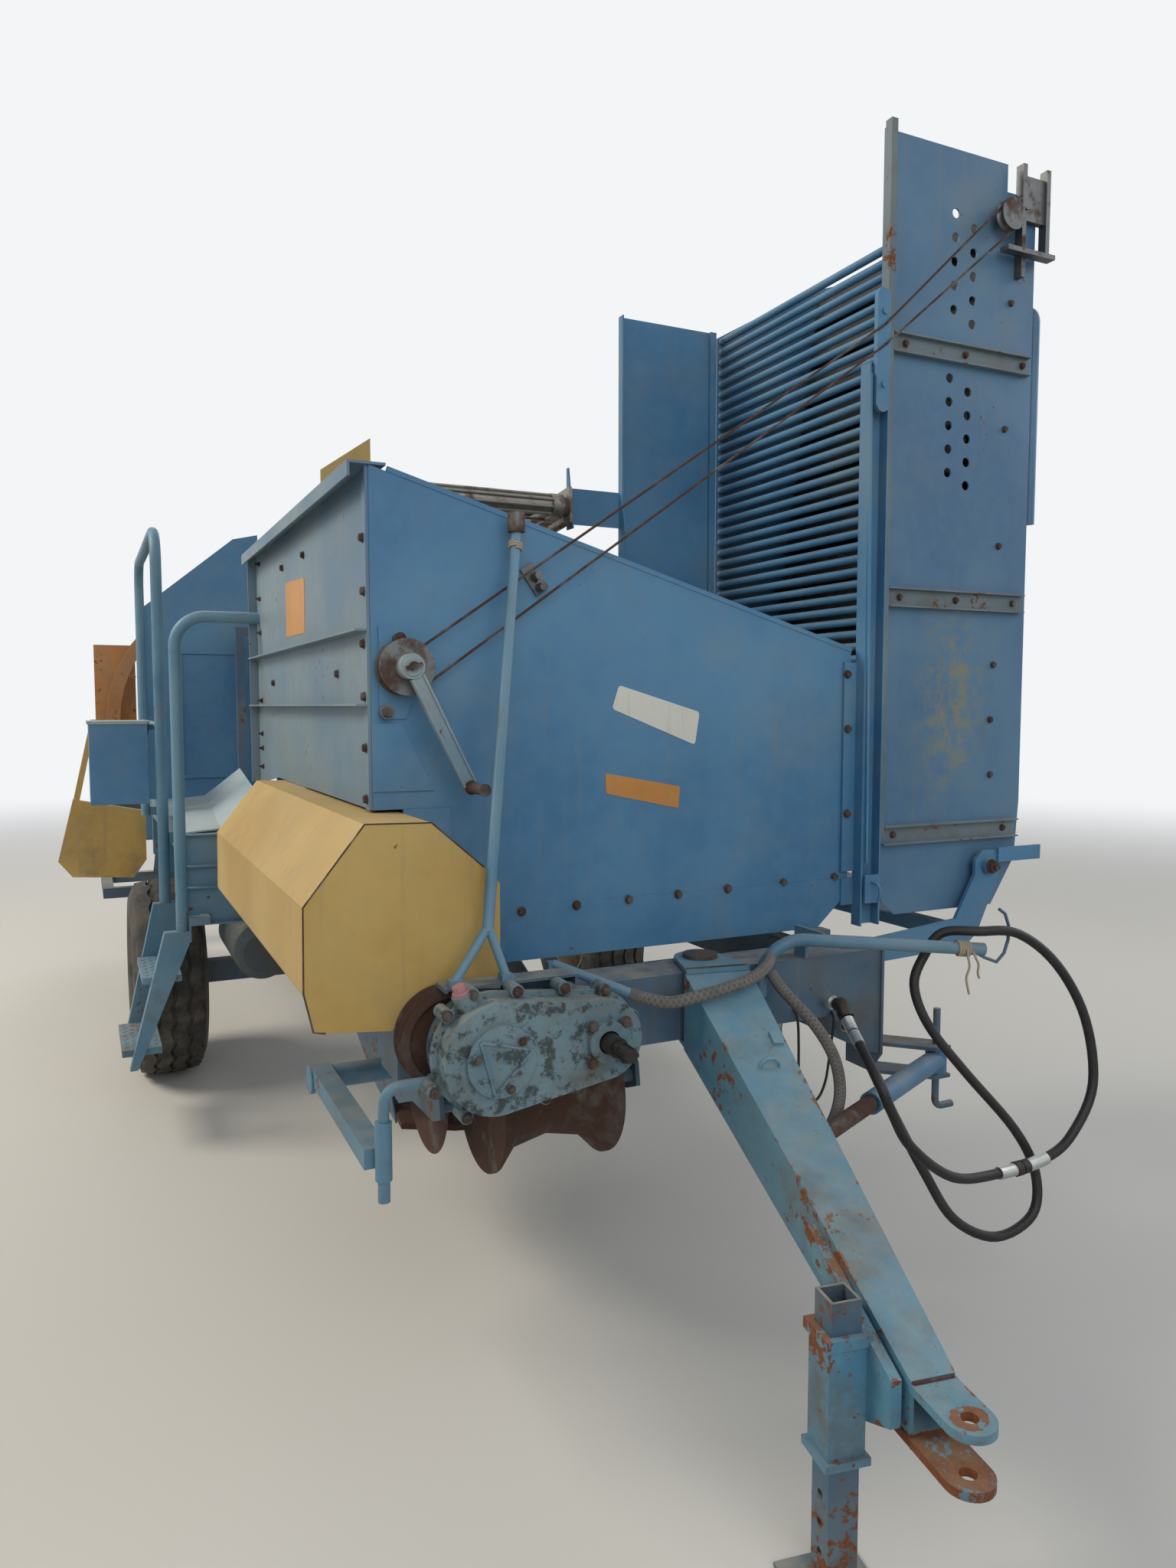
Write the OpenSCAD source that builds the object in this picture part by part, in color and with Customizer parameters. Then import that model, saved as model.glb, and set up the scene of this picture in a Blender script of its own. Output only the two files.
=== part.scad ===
// Potato digger: a one-row trailed harvester with a bunker, a tilting unloading elevator and a ring elevator.
// +X is the machine's left, -Y its hitch end, +Z up. The origin is on the ground under the middle of its box.

/* [Bunker] */
// Front face of the bunker's front wall
front_y = -1950; // [-1980:5:-1930]
// Outer face of the bunker's right wall
right_x = -731; // [-740:1:-725]
// Left edge of the front wall, where the elevator starts
mouth_x = 670; // [650:1:680]
// Height of the front wall at its right corner
wall_high = 2153; // [2100:1:2200]
// Height of the front wall at its left edge
wall_low = 1756; // [1700:1:1800]
// Height of the bolted seam above the skirt
seam_z = 1080; // [1070:1:1100]
// Lowest edge of the skirt
skirt_z = 962; // [958:1:980]
// Thickness of the sheet walls
sheet = 5; // [3:0.5:6]
// Depth of the bunker from its front wall to its rear wall
bunker_depth = 865; // [860:1:870]
// Rear edge of the long right wall
side_rear_y = -250; // [-260:1:-245]
// Top of the tall rear plate beside the elevator
tall_z = 2925; // [2850:5:2950]

/* [Unloading elevator] */
// Left flange of the elevator's side plates
elev_x0 = 762; // [760:1:765]
// Outer edge of the elevator's side plates
elev_x1 = 1355; // [1350:1:1365]
// Top of the elevator's front side plate
elev_top = 3230; // [3200:1:3240]
// Bottom of the elevator's boot
elev_low = 975; // [975:1:985]
// Tilt pivot, from the origin
pivot_x = 1184; // [1180:1:1190]
// Height of the tilt pivot
pivot_z = 1107; // [1100:1:1110]
// Diameter of the tilt pivot pin
pivot_d = 36; // [30:1:40]
// Number of slat tubes
tube_n = 42; // [36:1:44]
// Diameter of a slat tube
tube_d = 24; // [20:1:26]

/* [Frame] */
// Height of the top of the main rails
rail_top = 910; // [900:1:915]
// Height of a main rail's section
rail_h = 120; // [100:1:125]
// Width of a main rail
rail_w = 60; // [50:1:60]
// Rear face of the front beam
beam_rear = -1990; // [-1995:1:-1988]
// Depth of the front beam's section
beam_d = 140; // [130:1:145]
// Height of the front beam's section
beam_h = 170; // [150:1:175]

/* [Drawbar] */
// Drawbar pivot, left of the origin
pin_x = 100; // [95:1:105]
// Diameter of the drawbar pivot pin
pin_d = 45; // [40:1:50]
// Length from the pivot to the hitch hole
bar_len = 1150; // [1130:1:1160]
// Swing of the bar as it stands parked
bar_turn = -9.4; // [-9.4:0.1:-9.3]
// Diameter of the hitch pin hole
hitch_d = 30; // [28:1:32]
// Height of the upper tongue plate's top
tongue_z = 456; // [450:1:460]
// Outer side of the parking leg's square tube
leg_w = 60; // [56:1:60]

/* [Wheels] */
// Tyre diameter
tyre_d = 845; // [840:1:850]
// Tyre width
tyre_w = 290; // [280:1:295]
// Rim seat diameter
rim_d = 392; // [385:1:395]
// Distance from the middle to a wheel's middle plane
track_half = 1030; // [1030:1:1035]
// Wheel axis, behind the origin
axle_y = 560; // [555:1:565]

/* [Digging unit and webs] */
// Middle of the row that is dug
row_x = -270; // [-272:1:-268]
// Width of the sieving webs
web_w = 520; // [500:1:525]
// Diameter of the depth roller's ends
roller_d = 370; // [360:1:372]
// Diameter of a disc coulter
disc_d = 400; // [390:1:405]
// Distance from the row's middle to a disc coulter
coulter_half = 235; // [230:1:238]
// Diameter of a web rod
rod_d = 12; // [10:1:14]

/* [Ring elevator] */
// Outer diameter of the ring
ring_d = 1670; // [1660:1:1672]
// Height of the ring's axis
ring_z = 1500; // [1495:1:1505]
// Front face of the ring
ring_y = 2560; // [2558:1:2562]
// Length of the ring along its axis
ring_w = 480; // [470:1:482]
// Number of pocket rods round the ring
ring_rods = 48; // [36:12:48]

/* [Hidden] */
$fn = 48;

blue = [0.42, 0.58, 0.68];
ochre = [0.86, 0.73, 0.40];
orange = [0.80, 0.50, 0.18];
rusty = [0.36, 0.25, 0.20];
dark = [0.16, 0.16, 0.17];
grey = [0.45, 0.44, 0.42];

rear_y = front_y + bunker_depth;
rail_z = rail_top - rail_h;
rail_right = -700;
rail_left = 520;
beam_y = beam_rear - beam_d;
beam_z = 930 - beam_h;
beam_top = 930;
pin_y = beam_rear - beam_d / 2;
tube_x = elev_x0 + 18;
axle_z = tyre_d / 2;
elev_y0 = front_y + 2;
elev_y1 = front_y + 880;

// Plates in the three main planes
module xz(y0, t) translate([0, y0 + t, 0]) rotate([90, 0, 0]) linear_extrude(t) children();
module yz(x0, t) translate([x0, 0, 0]) rotate([90, 0, 90]) linear_extrude(t) children();
module xy(z0, t) translate([0, 0, z0]) linear_extrude(t) children();

// Box from one corner to the opposite one
module block(a, b) translate(a) cube(b - a);

// Cylinders along X and Y
module bar_x(at, len, d) translate(at) rotate([0, 90, 0]) cylinder(h = len, d = d);
module bar_y(at, len, d) translate(at) rotate([-90, 0, 0]) cylinder(h = len, d = d);

// Straight rod between two points
module rod(a, b, d) {
  v = b - a;
  translate(a) rotate([0, acos(v[2] / norm(v)), atan2(v[1], v[0])]) cylinder(h = norm(v), d = d);
}

// Rectangular bar along Y-Z from a to b, w wide in X and h deep
module slant(a, b, w, h) {
  v = b - a;
  translate(a) rotate([atan2(v[2], v[1]), 0, 0]) translate([-w / 2, 0, -h / 2]) cube([w, norm(v), h]);
}

// Bent pipe of diameter d through points p, each corner an arc of radius r
function unit(v) = v / norm(v);
function turn(p, i) = acos(min(1, unit(p[i] - p[i - 1]) * unit(p[i + 1] - p[i])));
function is_corner(p, i) = i > 0 && i < len(p) - 1 && turn(p, i) > 0.5;
function cut(p, i, r) = is_corner(p, i) ? r * tan(turn(p, i) / 2) : 0;
module elbow(p, i, d, r) {
  a = unit(p[i] - p[i - 1]);
  b = unit(p[i + 1] - p[i]);
  c = p[i] + unit(b - a) * r / cos(turn(p, i) / 2);
  u = unit(p[i] - a * cut(p, i, r) - c);
  w = cross(u, a);
  multmatrix([[u[0], a[0], w[0], c[0]], [u[1], a[1], w[1], c[1]], [u[2], a[2], w[2], c[2]], [0, 0, 0, 1]])
    rotate_extrude(angle = turn(p, i), $fn = 48) translate([r, 0]) circle(d = d);
}
module pipe(p, d, r) {
  for (i = [0:len(p) - 2])
    let (u = unit(p[i + 1] - p[i]))
      rod(p[i] + u * cut(p, i, r), p[i + 1] - u * cut(p, i + 1, r), d);
  for (i = [1:1:len(p) - 2])
    if (is_corner(p, i)) elbow(p, i, d, r);
}

// Loose hose: an eight-sided tube along a smooth curve through the route's points
function curve(p0, p1, p2, p3, t) =
  0.5 * ((2 * p1) + (p2 - p0) * t + (2 * p0 - 5 * p1 + 4 * p2 - p3) * t * t + (3 * p1 - p0 - 3 * p2 + p3) * t * t * t);
function smooth(p, steps) = concat(
  [for (i = [0:len(p) - 2]) for (k = [0:steps - 1])
    curve(p[max(i - 1, 0)], p[i], p[i + 1], p[min(i + 2, len(p) - 1)], k / steps)],
  [p[len(p) - 1]]);
function slope(q, i) = unit(q[min(i + 1, len(q) - 1)] - q[max(i - 1, 0)]);
function side(q, i) = i == 0 ? unit(cross(slope(q, 0), [0.3, 0.2, 1])) :
  let (s = side(q, i - 1), t = slope(q, i)) unit(s - t * (s * t));
module hose(route, d, steps) {
  q = smooth(route, steps);
  n = len(q);
  k = 8;
  rings = [for (i = [0:n - 1]) let (t = slope(q, i), s = side(q, i), c = cross(t, s))
    for (j = [0:k - 1]) q[i] + (s * cos(360 * j / k) + c * sin(360 * j / k)) * d / 2];
  walls = [for (i = [0:n - 2]) for (j = [0:k - 1])
    [i * k + j, (i + 1) * k + j, (i + 1) * k + (j + 1) % k, i * k + (j + 1) % k]];
  first = [for (j = [0:k - 1]) j];
  last = [for (j = [k - 1:-1:0]) (n - 1) * k + j];
  polyhedron(concat(rings), concat(walls, [first, last]));
}

// Bunker

wall_slope = (wall_low - wall_high) / (mouth_x - right_x);
notch_x = -539;
notch_z = 1357;
module front_wall() {
  color(blue) {
    difference() {
      xz(front_y, sheet)
        polygon([[right_x, wall_high], [right_x, notch_z], [notch_x, notch_z], [notch_x, seam_z - 60],
                 [notch_x + 60, skirt_z], [mouth_x - 110, skirt_z], [mouth_x, seam_z - 20], [mouth_x, wall_low]]);
    }
    xz(front_y - sheet, sheet)
      polygon([[notch_x, seam_z + 20], [notch_x, seam_z - 60], [notch_x + 60, skirt_z], [mouth_x - 110, skirt_z],
               [mouth_x, seam_z - 20], [mouth_x, seam_z + 20]]);
    xz(front_y - sheet, sheet) polygon([[right_x, 1400], [right_x, 1560], [right_x + 70, 1560], [right_x + 150, 1400]]);
    translate([right_x + 42, front_y - 2, wall_high + 42 * wall_slope]) rotate([0, -atan(wall_slope), 0])
      cube([(mouth_x - right_x - 42) / cos(atan(wall_slope)), 10, 12]);
  }
}

rib_z = [1601, 1775];
module right_wall() {
  y0 = front_y + sheet;
  color(blue) {
    yz(right_x, sheet) polygon([[y0, notch_z], [y0, wall_high], [side_rear_y, wall_high], [side_rear_y, 1311],
                                [side_rear_y - 400, notch_z]]);
    for (z = rib_z) block([right_x - 35, y0, z], [right_x, side_rear_y, z + 5]);
    block([right_x - 8, y0, notch_z], [right_x, y0 + 30, wall_high]);
    block([right_x - 30, side_rear_y - 6, 1320], [right_x, side_rear_y, wall_high]);
    block([right_x - 50, y0 - 10, wall_high], [right_x + 40, side_rear_y, wall_high + 6]);
    block([right_x - 50, y0 - 10, wall_high - 30], [right_x - 44, side_rear_y, wall_high]);
    // Sloping bottom of the bunker over the guard
    xz(y0, bunker_depth - sheet)
      polygon([[right_x + sheet, notch_z], [right_x + sheet, notch_z + sheet], [-660, notch_z + sheet],
               [notch_x + 5, notch_z - 100], [notch_x + 14, 1085], [notch_x + 9, 1085], [notch_x, notch_z - 102],
               [-662, notch_z]]);
  }
  color(ochre) xz(y0 + 560, sheet) polygon([[right_x + 10, wall_high + 6], [right_x + 150, wall_high + 6],
                                            [right_x + 150, wall_high + 200], [right_x + 10, wall_high + 100]]);
}

module rear_wall() {
  color(blue) {
    xz(rear_y, sheet)
      polygon([[notch_x + 16, rail_top + 0.3], [elev_x0 - 17, rail_top + 0.3], [elev_x0 - 17, tall_z], [362, tall_z],
               [362, 1900], [right_x + sheet, 1900], [right_x + sheet, notch_z + 8], [-655, notch_z + 8],
               [notch_x + 16, notch_z - 100]]);
    block([362, rear_y - 25, 1900], [367, rear_y, tall_z]);
    // Hood beside the table's end
    xz(rear_y, sheet) polygon([[170, 2215], [362, 2215], [362, 2335], [170, 2335]]);
    for (x = [165, 362]) yz(x, 5) polygon([[rear_y - 45, 2195], [rear_y + sheet, 2195], [rear_y + sheet, 2400],
                                           [rear_y - 8, 2400]]);
    block([elev_x0 - 42, rear_y - 12, 1150], [elev_x0 - 17, rear_y, tall_z]);
  }
}

// Flattened loop of a web, in the plane of its path: centre-line ends a and b, half height r
module loop_shape(a, b, r) {
  v = b - a;
  translate(a) rotate(atan2(v[1], v[0])) union() {
    translate([0, -r]) square([norm(v), 2 * r]);
    circle(r);
    translate([norm(v), 0]) circle(r);
  }
}
module loop_band(a, b, r, t) {
  difference() {
    loop_shape(a, b, r);
    loop_shape(a, b, r - t);
  }
}

floor_z = 1035;
module bunker_floor() {
  x0 = notch_x + 66;
  x1 = mouth_x - 75;
  y0 = front_y + 30;
  y1 = rear_y - 30;
  color(dark) for (y = [y0, (y0 + y1) / 2 - 20, y1 - 40]) xz(y, 40) loop_band([x0, floor_z], [x1, floor_z], 45, 8);
  color(grey) {
    n = 26;
    for (k = [0:n - 1], s = [1, -1])
      bar_y([x0 + (x1 - x0) * (k + 0.5) / n, y0 + 1, floor_z + s * 39], y1 - y0 - 2, 10, $fn = 8);
    for (x = [x0, x1]) bar_y([x, y0 - 25, floor_z], y1 - y0 + 50, 73.4);
  }
}

module guide_post() {
  x0 = mouth_x + 12;
  color(blue) {
    difference() {
      block([x0, front_y - 45, skirt_z], [x0 + 72, front_y - 6, 2560]);
      block([x0 + 6, front_y - 50, skirt_z - 1], [x0 + 66, front_y - 12, 2561]);
    }
    block([x0 - 42, front_y - 10, seam_z + 40], [x0, front_y - 0.3, wall_low - 30]);
    block([x0 - 42, front_y - 10, skirt_z + 60], [x0, front_y - sheet - 0.3, seam_z + 20]);
  }
  color(blue) difference() {
    xz(front_y - 59, 14) translate([x0 + 36, 2450]) union() {
      translate([-24, 0]) square([48, 290]);
      circle(24);
      translate([0, 290]) circle(24);
    }
    for (z = [2500, 2700]) bar_y([x0 + 36, front_y - 60, z], 20, 17);
  }
  color(rusty) for (z = [2500, 2700]) bar_y([x0 + 36, front_y - 65, z], 20, 16.8);
}

// Frame

end_x0 = 304;
end_x1 = 643;
module front_beam() {
  color(blue) {
    difference() {
      union() {
        block([-730, beam_y, beam_z], [end_x1, beam_rear, beam_top]);
        xz(beam_y, beam_d)
          polygon([[462, beam_z], [end_x1, beam_z], [end_x1, 632], [600, 645], [470, 708]]);
      }
      translate([pin_x, pin_y, beam_z - 1]) cylinder(h = beam_h + 2, d = pin_d + 0.6);
    }
    yz(end_x1, 8) polygon([[beam_y - 8, beam_top], [beam_y - 8, 632], [beam_y + 40, 570], [beam_rear, 570],
                           [beam_rear, beam_top]]);
    for (x = lug_x) block([x, beam_y - 20, beam_z - 20], [x + 12, beam_y, beam_top]);
  }
}

module main_frame() {
  color(blue) {
    for (x = [rail_right, rail_left]) block([x, beam_rear, rail_z], [x + rail_w, 2460, rail_top]);
    for (y = [rear_y - 25, 20, 1180])
      block([rail_right + rail_w, y, rail_top - 80], [rail_left, y + 60, rail_top]);
    for (x = [rail_right, rail_left])
      yz(x + 20, 20) polygon([[axle_y - 45, axle_z + 45.3], [axle_y + 45, axle_z + 45.3], [axle_y + 190, rail_z],
                              [axle_y - 190, rail_z]]);
    // Posts and bearers that carry the bunker and the sorting table
    for (p = [[20, 2097], [1180, 1996]]) {
      for (x = [-600, 120]) block([x - 20, p[0] + 5, rail_top], [x + 20, p[0] + 45, p[1] - 40]);
      block([-620, p[0] + 5, p[1] - 40], [170, p[0] + 45, p[1]]);
    }
    block([rail_left, -1990, rail_top], [rail_left + rail_w, -1945, skirt_z - 0.3]);
  }
}

module axle() {
  color(blue) {
    block([-track_half + 160, axle_y - 45, axle_z - 45], [track_half - 160, axle_y + 45, axle_z + 45]);
  }
  color(grey) for (s = [-1, 1])
    bar_x([s > 0 ? track_half - 160 : -track_half - 55, axle_y, axle_z], 215, 75.4);
}

tyre_r = tyre_d / 2;
rim_r = rim_d / 2;
module tyre() {
  h = tyre_w / 2;
  color(dark) translate([0, axle_y, tyre_r]) rotate([0, 90, 0]) rotate_extrude($fn = 96)
    polygon([[rim_r + 0.3, -h + 36], [rim_r + 0.3, h - 36], [rim_r + 12, h - 36], [rim_r + 50, h - 8], [rim_r + 90, h],
             [tyre_r - 70, h - 3], [tyre_r - 22, h - 22], [tyre_r - 5, h - 60], [tyre_r, 0],
             [tyre_r - 5, -h + 60], [tyre_r - 22, -h + 22], [tyre_r - 70, -h + 3], [rim_r + 90, -h],
             [rim_r + 50, -h + 8], [rim_r + 12, -h + 36]]);
}
module rim(s) {
  h = tyre_w / 2;
  color(grey) translate([0, axle_y, tyre_r]) rotate([0, 90 * s, 0]) {
    rotate_extrude($fn = 72)
      polygon([[rim_r - 6, -h + 29], [rim_r + 8, -h + 29], [rim_r + 8, -h + 35.7], [rim_r, -h + 35.7],
               [rim_r, h - 35.7], [rim_r + 8, h - 35.7], [rim_r + 8, h - 29], [rim_r - 6, h - 29]]);
    difference() {
      rotate_extrude($fn = 72)
        polygon([[38, -20], [38, 60], [70, 60], [70, 5], [120, 25], [rim_r - 6, 25], [rim_r - 6, 10], [124, 10],
                 [80, -8], [80, -20]]);
      for (k = [0:5]) rotate(60 * k) translate([155, 0, -30]) cylinder(h = 90, d = 34);
    }
    translate([0, 0, 60.3]) cylinder(h = 26, d = 76);
    translate([0, 0, 60]) difference() {
      cylinder(h = 5, d = 150);
      translate([0, 0, -1]) cylinder(h = 7, d = 76.2);
    }
  }
}
module tyre_right() translate([-track_half, 0, 0]) tyre();
module tyre_left() translate([track_half, 0, 0]) tyre();
module rim_right() translate([-track_half, 0, 0]) rim(-1);
module rim_left() translate([track_half, 0, 0]) rim(1);

module air_tank() {
  x = rail_right - 41;
  z = rail_z - 118;
  color(blue) {
    bar_y([x, -290, z], 500, 206);
    translate([x, -290, z]) rotate([90, 0, 0]) cylinder(h = 22, d1 = 206, d2 = 150);
    translate([x, 210, z]) rotate([-90, 0, 0]) cylinder(h = 22, d1 = 206, d2 = 150);
    for (y = [-200, 110]) block([x + 20, y, z + 80], [x + 62, y + 30, rail_z - 0.3]);
  }
}

// Unloading elevator, which tilts outwards about the pivot

hole_dx = [270, 343];
boot_shape = [[elev_x0, 1200], [elev_x0 + 40, elev_low + 40], [elev_x0 + 90, elev_low], [elev_x1 - 110, elev_low],
              [elev_x1 - 15, 1120], [elev_x1, 1300]];
front_top = [[elev_x1, elev_top - 60], [elev_x1 - 50, elev_top - 60], [elev_x1 - 50, elev_top - 80],
             [elev_x1 - 120, elev_top - 80], [elev_x1 - 120, elev_top], [elev_x0, elev_top]];
rear_top = [[elev_x1, elev_top - 60], [elev_x1 - 50, elev_top - 40], [elev_x1 - 200, elev_top - 90],
            [elev_x0, 2915]];
module channel_brace(z, y, out) {
  x0 = elev_x0 + 28;
  x1 = elev_x1 - 22;
  for (dz = [0, 52]) block([x0, min(y, y + out * 22), z + dz], [x1, max(y, y + out * 22), z + dz + 5]);
  block([x0, min(y, y + out * 5), z + 5], [x1, max(y, y + out * 5), z + 52]);
}
module elevator_casing() {
  color(blue) {
    difference() {
      xz(elev_y0, sheet) polygon(concat(boot_shape, front_top));
      for (g = [0, 1], c = [0, 1], k = [0:4])
        bar_y([elev_x0 + hole_dx[c] - g * 10, elev_y0 - 1, 2773 - g * 475 + k * 69 - c * 32], sheet + 2, 28);
      bar_y([pivot_x, elev_y0 - 1, pivot_z], sheet + 2, pivot_d + 0.6);
    }
    difference() {
      xz(elev_y1 - sheet, sheet) polygon(concat(boot_shape, rear_top));
      bar_y([pivot_x, elev_y1 - sheet - 1, pivot_z], sheet + 2, pivot_d + 0.6);
    }
    block([elev_x0, elev_y0 - 26, 1215], [elev_x0 + 6, elev_y0, elev_top + 18]);
    block([elev_x0 + 6, elev_y0 - 26, 1215], [elev_x0 + 22, elev_y0 - 21, elev_top + 18]);
    for (z = [1189, 1891, 2616]) {
      channel_brace(z, elev_y0, -1);
      channel_brace(z, elev_y1, 1);
    }
    // Outer sheet, with its window, and the boot's floor
    difference() {
      block([elev_x1 - 8, elev_y0 + sheet, 1305], [elev_x1 - 3, elev_y1 - sheet, 3100]);
      block([elev_x1 - 12, elev_y0 + 140, 2250], [elev_x1, elev_y1 - 140, 2900]);
    }
    block([elev_x0 + 92, elev_y0 + sheet, elev_low], [elev_x1 - 112, elev_y1 - sheet, elev_low + 5]);
    // Flap on the outer edge
    flap_x = elev_x1 + 26;
    pipe([[flap_x, elev_y0 + 18, 2174], [flap_x, elev_y0 + 18, 2834], [flap_x, elev_y1 - 18, 2834],
          [flap_x, elev_y1 - 18, 2174]], 36, 40);
    block([flap_x - 2, elev_y0 + 18, 2200], [flap_x + 2, elev_y1 - 18, 2830]);
    for (y = [elev_y0 + 40, elev_y1 - 46]) for (z = [2240, 2760])
      block([elev_x1 - 4, y, z], [flap_x, y + 6, z + 30]);
  }
}

tube_top = 2905;
tube_pitch = 37.5;
module elevator_tubes() {
  color(blue) for (k = [0:tube_n - 1])
    bar_y([tube_x, elev_y0 + sheet, tube_top - k * tube_pitch], elev_y1 - elev_y0 - 2 * sheet, tube_d, $fn = 16);
}

web_foot = [elev_x0 + 220, 1120];
web_head = [elev_x1 - 100, elev_top - 130];
module elevator_web() {
  a = web_foot;
  b = web_head;
  y0 = elev_y0 + sheet + 12;
  y1 = elev_y1 - sheet - 12;
  v = b - a;
  r = 58;
  color(rusty) xz(y0, y1 - y0) loop_band(a, b, r, 8);
  // As many slats as the straight run holds
  color(dark) for (k = [0:floor((norm(v) - 120) / 140)])
    translate([a[0], y0 + 20, a[1]]) rotate([0, -atan2(v[1], v[0]), 0])
      translate([60 + k * 140, 0, r - 1]) cube([8, y1 - y0 - 40, 56]);
}

// Head of the elevator: top shaft in its bearings, the foot shaft and the rope pulley
pulley = [elev_x0 + 438, 3057];
module elevator_head() {
  y0 = elev_y0;
  a = web_foot;
  b = web_head;
  color(grey) {
    bar_y([b[0], y0 + sheet + 0.3, b[1]], elev_y1 - y0 - 2 * sheet - 0.6, 99);
    bar_y([a[0], y0 + sheet + 0.3, a[1]], elev_y1 - y0 - 2 * sheet - 0.6, 99);
  }
  color(blue) {
    for (x = [elev_x1 - 85, elev_x1 + 14]) block([x, y0 - 28, 2972], [x + 16, y0, elev_top]);
    block([elev_x1 - 69, y0 - 20, 3070], [elev_x1 + 14, y0, 3200]);
    block([pulley[0] - 10, y0 - 52, 2958], [elev_x1 + 30, y0 - 20, 2972]);
    block([elev_x1 - 85, y0 - 28, 2900], [elev_x1 - 69, y0, 2980]);
  }
  color(grey) {
    bar_y([b[0], y0 - 60, b[1]], 60, 40);
    translate([pulley[0], y0 - 48, pulley[1]]) rotate([90, 0, 0]) rotate_extrude()
      polygon([[0, -15], [46, -15], [46, -10], [34, -2], [34, 2], [46, 10], [46, 15], [0, 15]]);
    bar_y([pulley[0], y0 - 33, pulley[1]], 33, 24);
    block([pulley[0], y0 - 16, pulley[1] - 9], [elev_x1 - 80, y0, pulley[1] + 9]);
  }
}

// Arms that carry the elevator's tilt pivot
module hinge_arm(y, t) {
  color(blue) difference() {
    union() {
      xz(y, t) polygon([[rail_left + rail_w, 840], [rail_left + rail_w, 905], [1060, 950], [pivot_x - 48, pivot_z - 25],
                        [pivot_x - 48, pivot_z + 20], [pivot_x - 20, pivot_z + 48], [pivot_x + 30, pivot_z + 48],
                        [pivot_x + 50, pivot_z + 20], [pivot_x + 50, pivot_z - 30], [1150, 900], [1100, 860]]);
    }
  }
}
module hinge_arms() {
  y0 = elev_y0 - 40;
  y1 = elev_y1 + 30;
  hinge_arm(y0, 12);
  hinge_arm(y1, 12);
  color(blue) {
    block([1064, y0 + 12, 880], [1110, y1, 926]);
    block([pivot_x + 40, y0 - 8, pivot_z + 10], [elev_x1 + 49, y0, pivot_z + 55]);
  }
  color(rusty) {
    bar_y([pivot_x, y0 - 18, pivot_z], 18, pivot_d + 14);
    bar_y([pivot_x, y0 + 12, pivot_z], 52, pivot_d);
    bar_y([pivot_x, y1 - 52, pivot_z], 52, pivot_d);
  }
}

// Hand winch with its crank, on the upper right corner of the front wall

winch_x = right_x + 72;
winch_z = 1691;
crank_end = [-520, 1410];
module winch() {
  y = front_y;
  color(rusty) {
    xz(y - 6, 6) polygon([[winch_x - 55, winch_z - 120], [winch_x + 8, winch_z - 120], [winch_x + 40, winch_z - 40],
                          [winch_x + 40, winch_z + 40], [winch_x + 5, winch_z + 95], [winch_x - 55, winch_z + 95]]);
    translate([winch_x, y - 6, winch_z]) rotate([90, 0, 0]) rotate_extrude()
      polygon([[0, 0], [66, 0], [66, 5], [30, 5], [30, 45], [66, 45], [66, 50], [0, 50]]);
    bar_y([winch_x - 10, y - 30, winch_z + 66], 24, 26);
    bar_y([winch_x - 40, y - 22, winch_z - 104], 16, 34);
  }
  color(grey) {
    bar_y([winch_x, y - 96, winch_z], 40, 58);
    v = crank_end - [winch_x, winch_z];
    translate([winch_x, y - 92, winch_z]) rotate([0, -atan2(v[1], v[0]), 0]) difference() {
      translate([0, 0, -17]) cube([norm(v), 14, 34]);
      translate([-1, -1, -17.5]) cube([28, 16, 35]);
    }
    bar_y([crank_end[0], y - 180, crank_end[1]], 102, 26);
  }
  // Rope guide with two rollers
  color(rusty) {
    translate([-322, y, 1911]) rotate([0, 55, 0]) difference() {
      translate([-40, -8, -18]) cube([76, 8, 36]);
      translate([2, 1, 0]) rotate([90, 0, 0]) cylinder(h = 10, d = 12);
    }
    bar_y([-324, y - 42, 1919], 34, 20);
    bar_y([-311, y - 42, 1893], 34, 20);
  }
}

rope_d = 7;
post_y = front_y - 59 - rope_d / 2 - 1;
upper_a = [-640, front_y - 31, 1724];
upper_b = [716, post_y, 2662];
lower_a = [-604, front_y - 22, 1652];
lower_b = [716, post_y, 2606];
module winch_rope() {
  color(rusty) {
    rod(upper_a, upper_b, rope_d, $fn = 8);
    rod(lower_a, lower_b, rope_d, $fn = 8);
  }
}
module tackle_rope() {
  color(rusty) {
    rod(upper_b + [4, 0, 3], [pulley[0] - 25, elev_y0 - 48, pulley[1] + 28.5], rope_d, $fn = 8);
    rod(lower_b + [4, 0, 3], [pulley[0] + 24, elev_y0 - 48, pulley[1] - 30], rope_d, $fn = 8);
  }
}

// Gearbox with its input shaft

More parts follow.
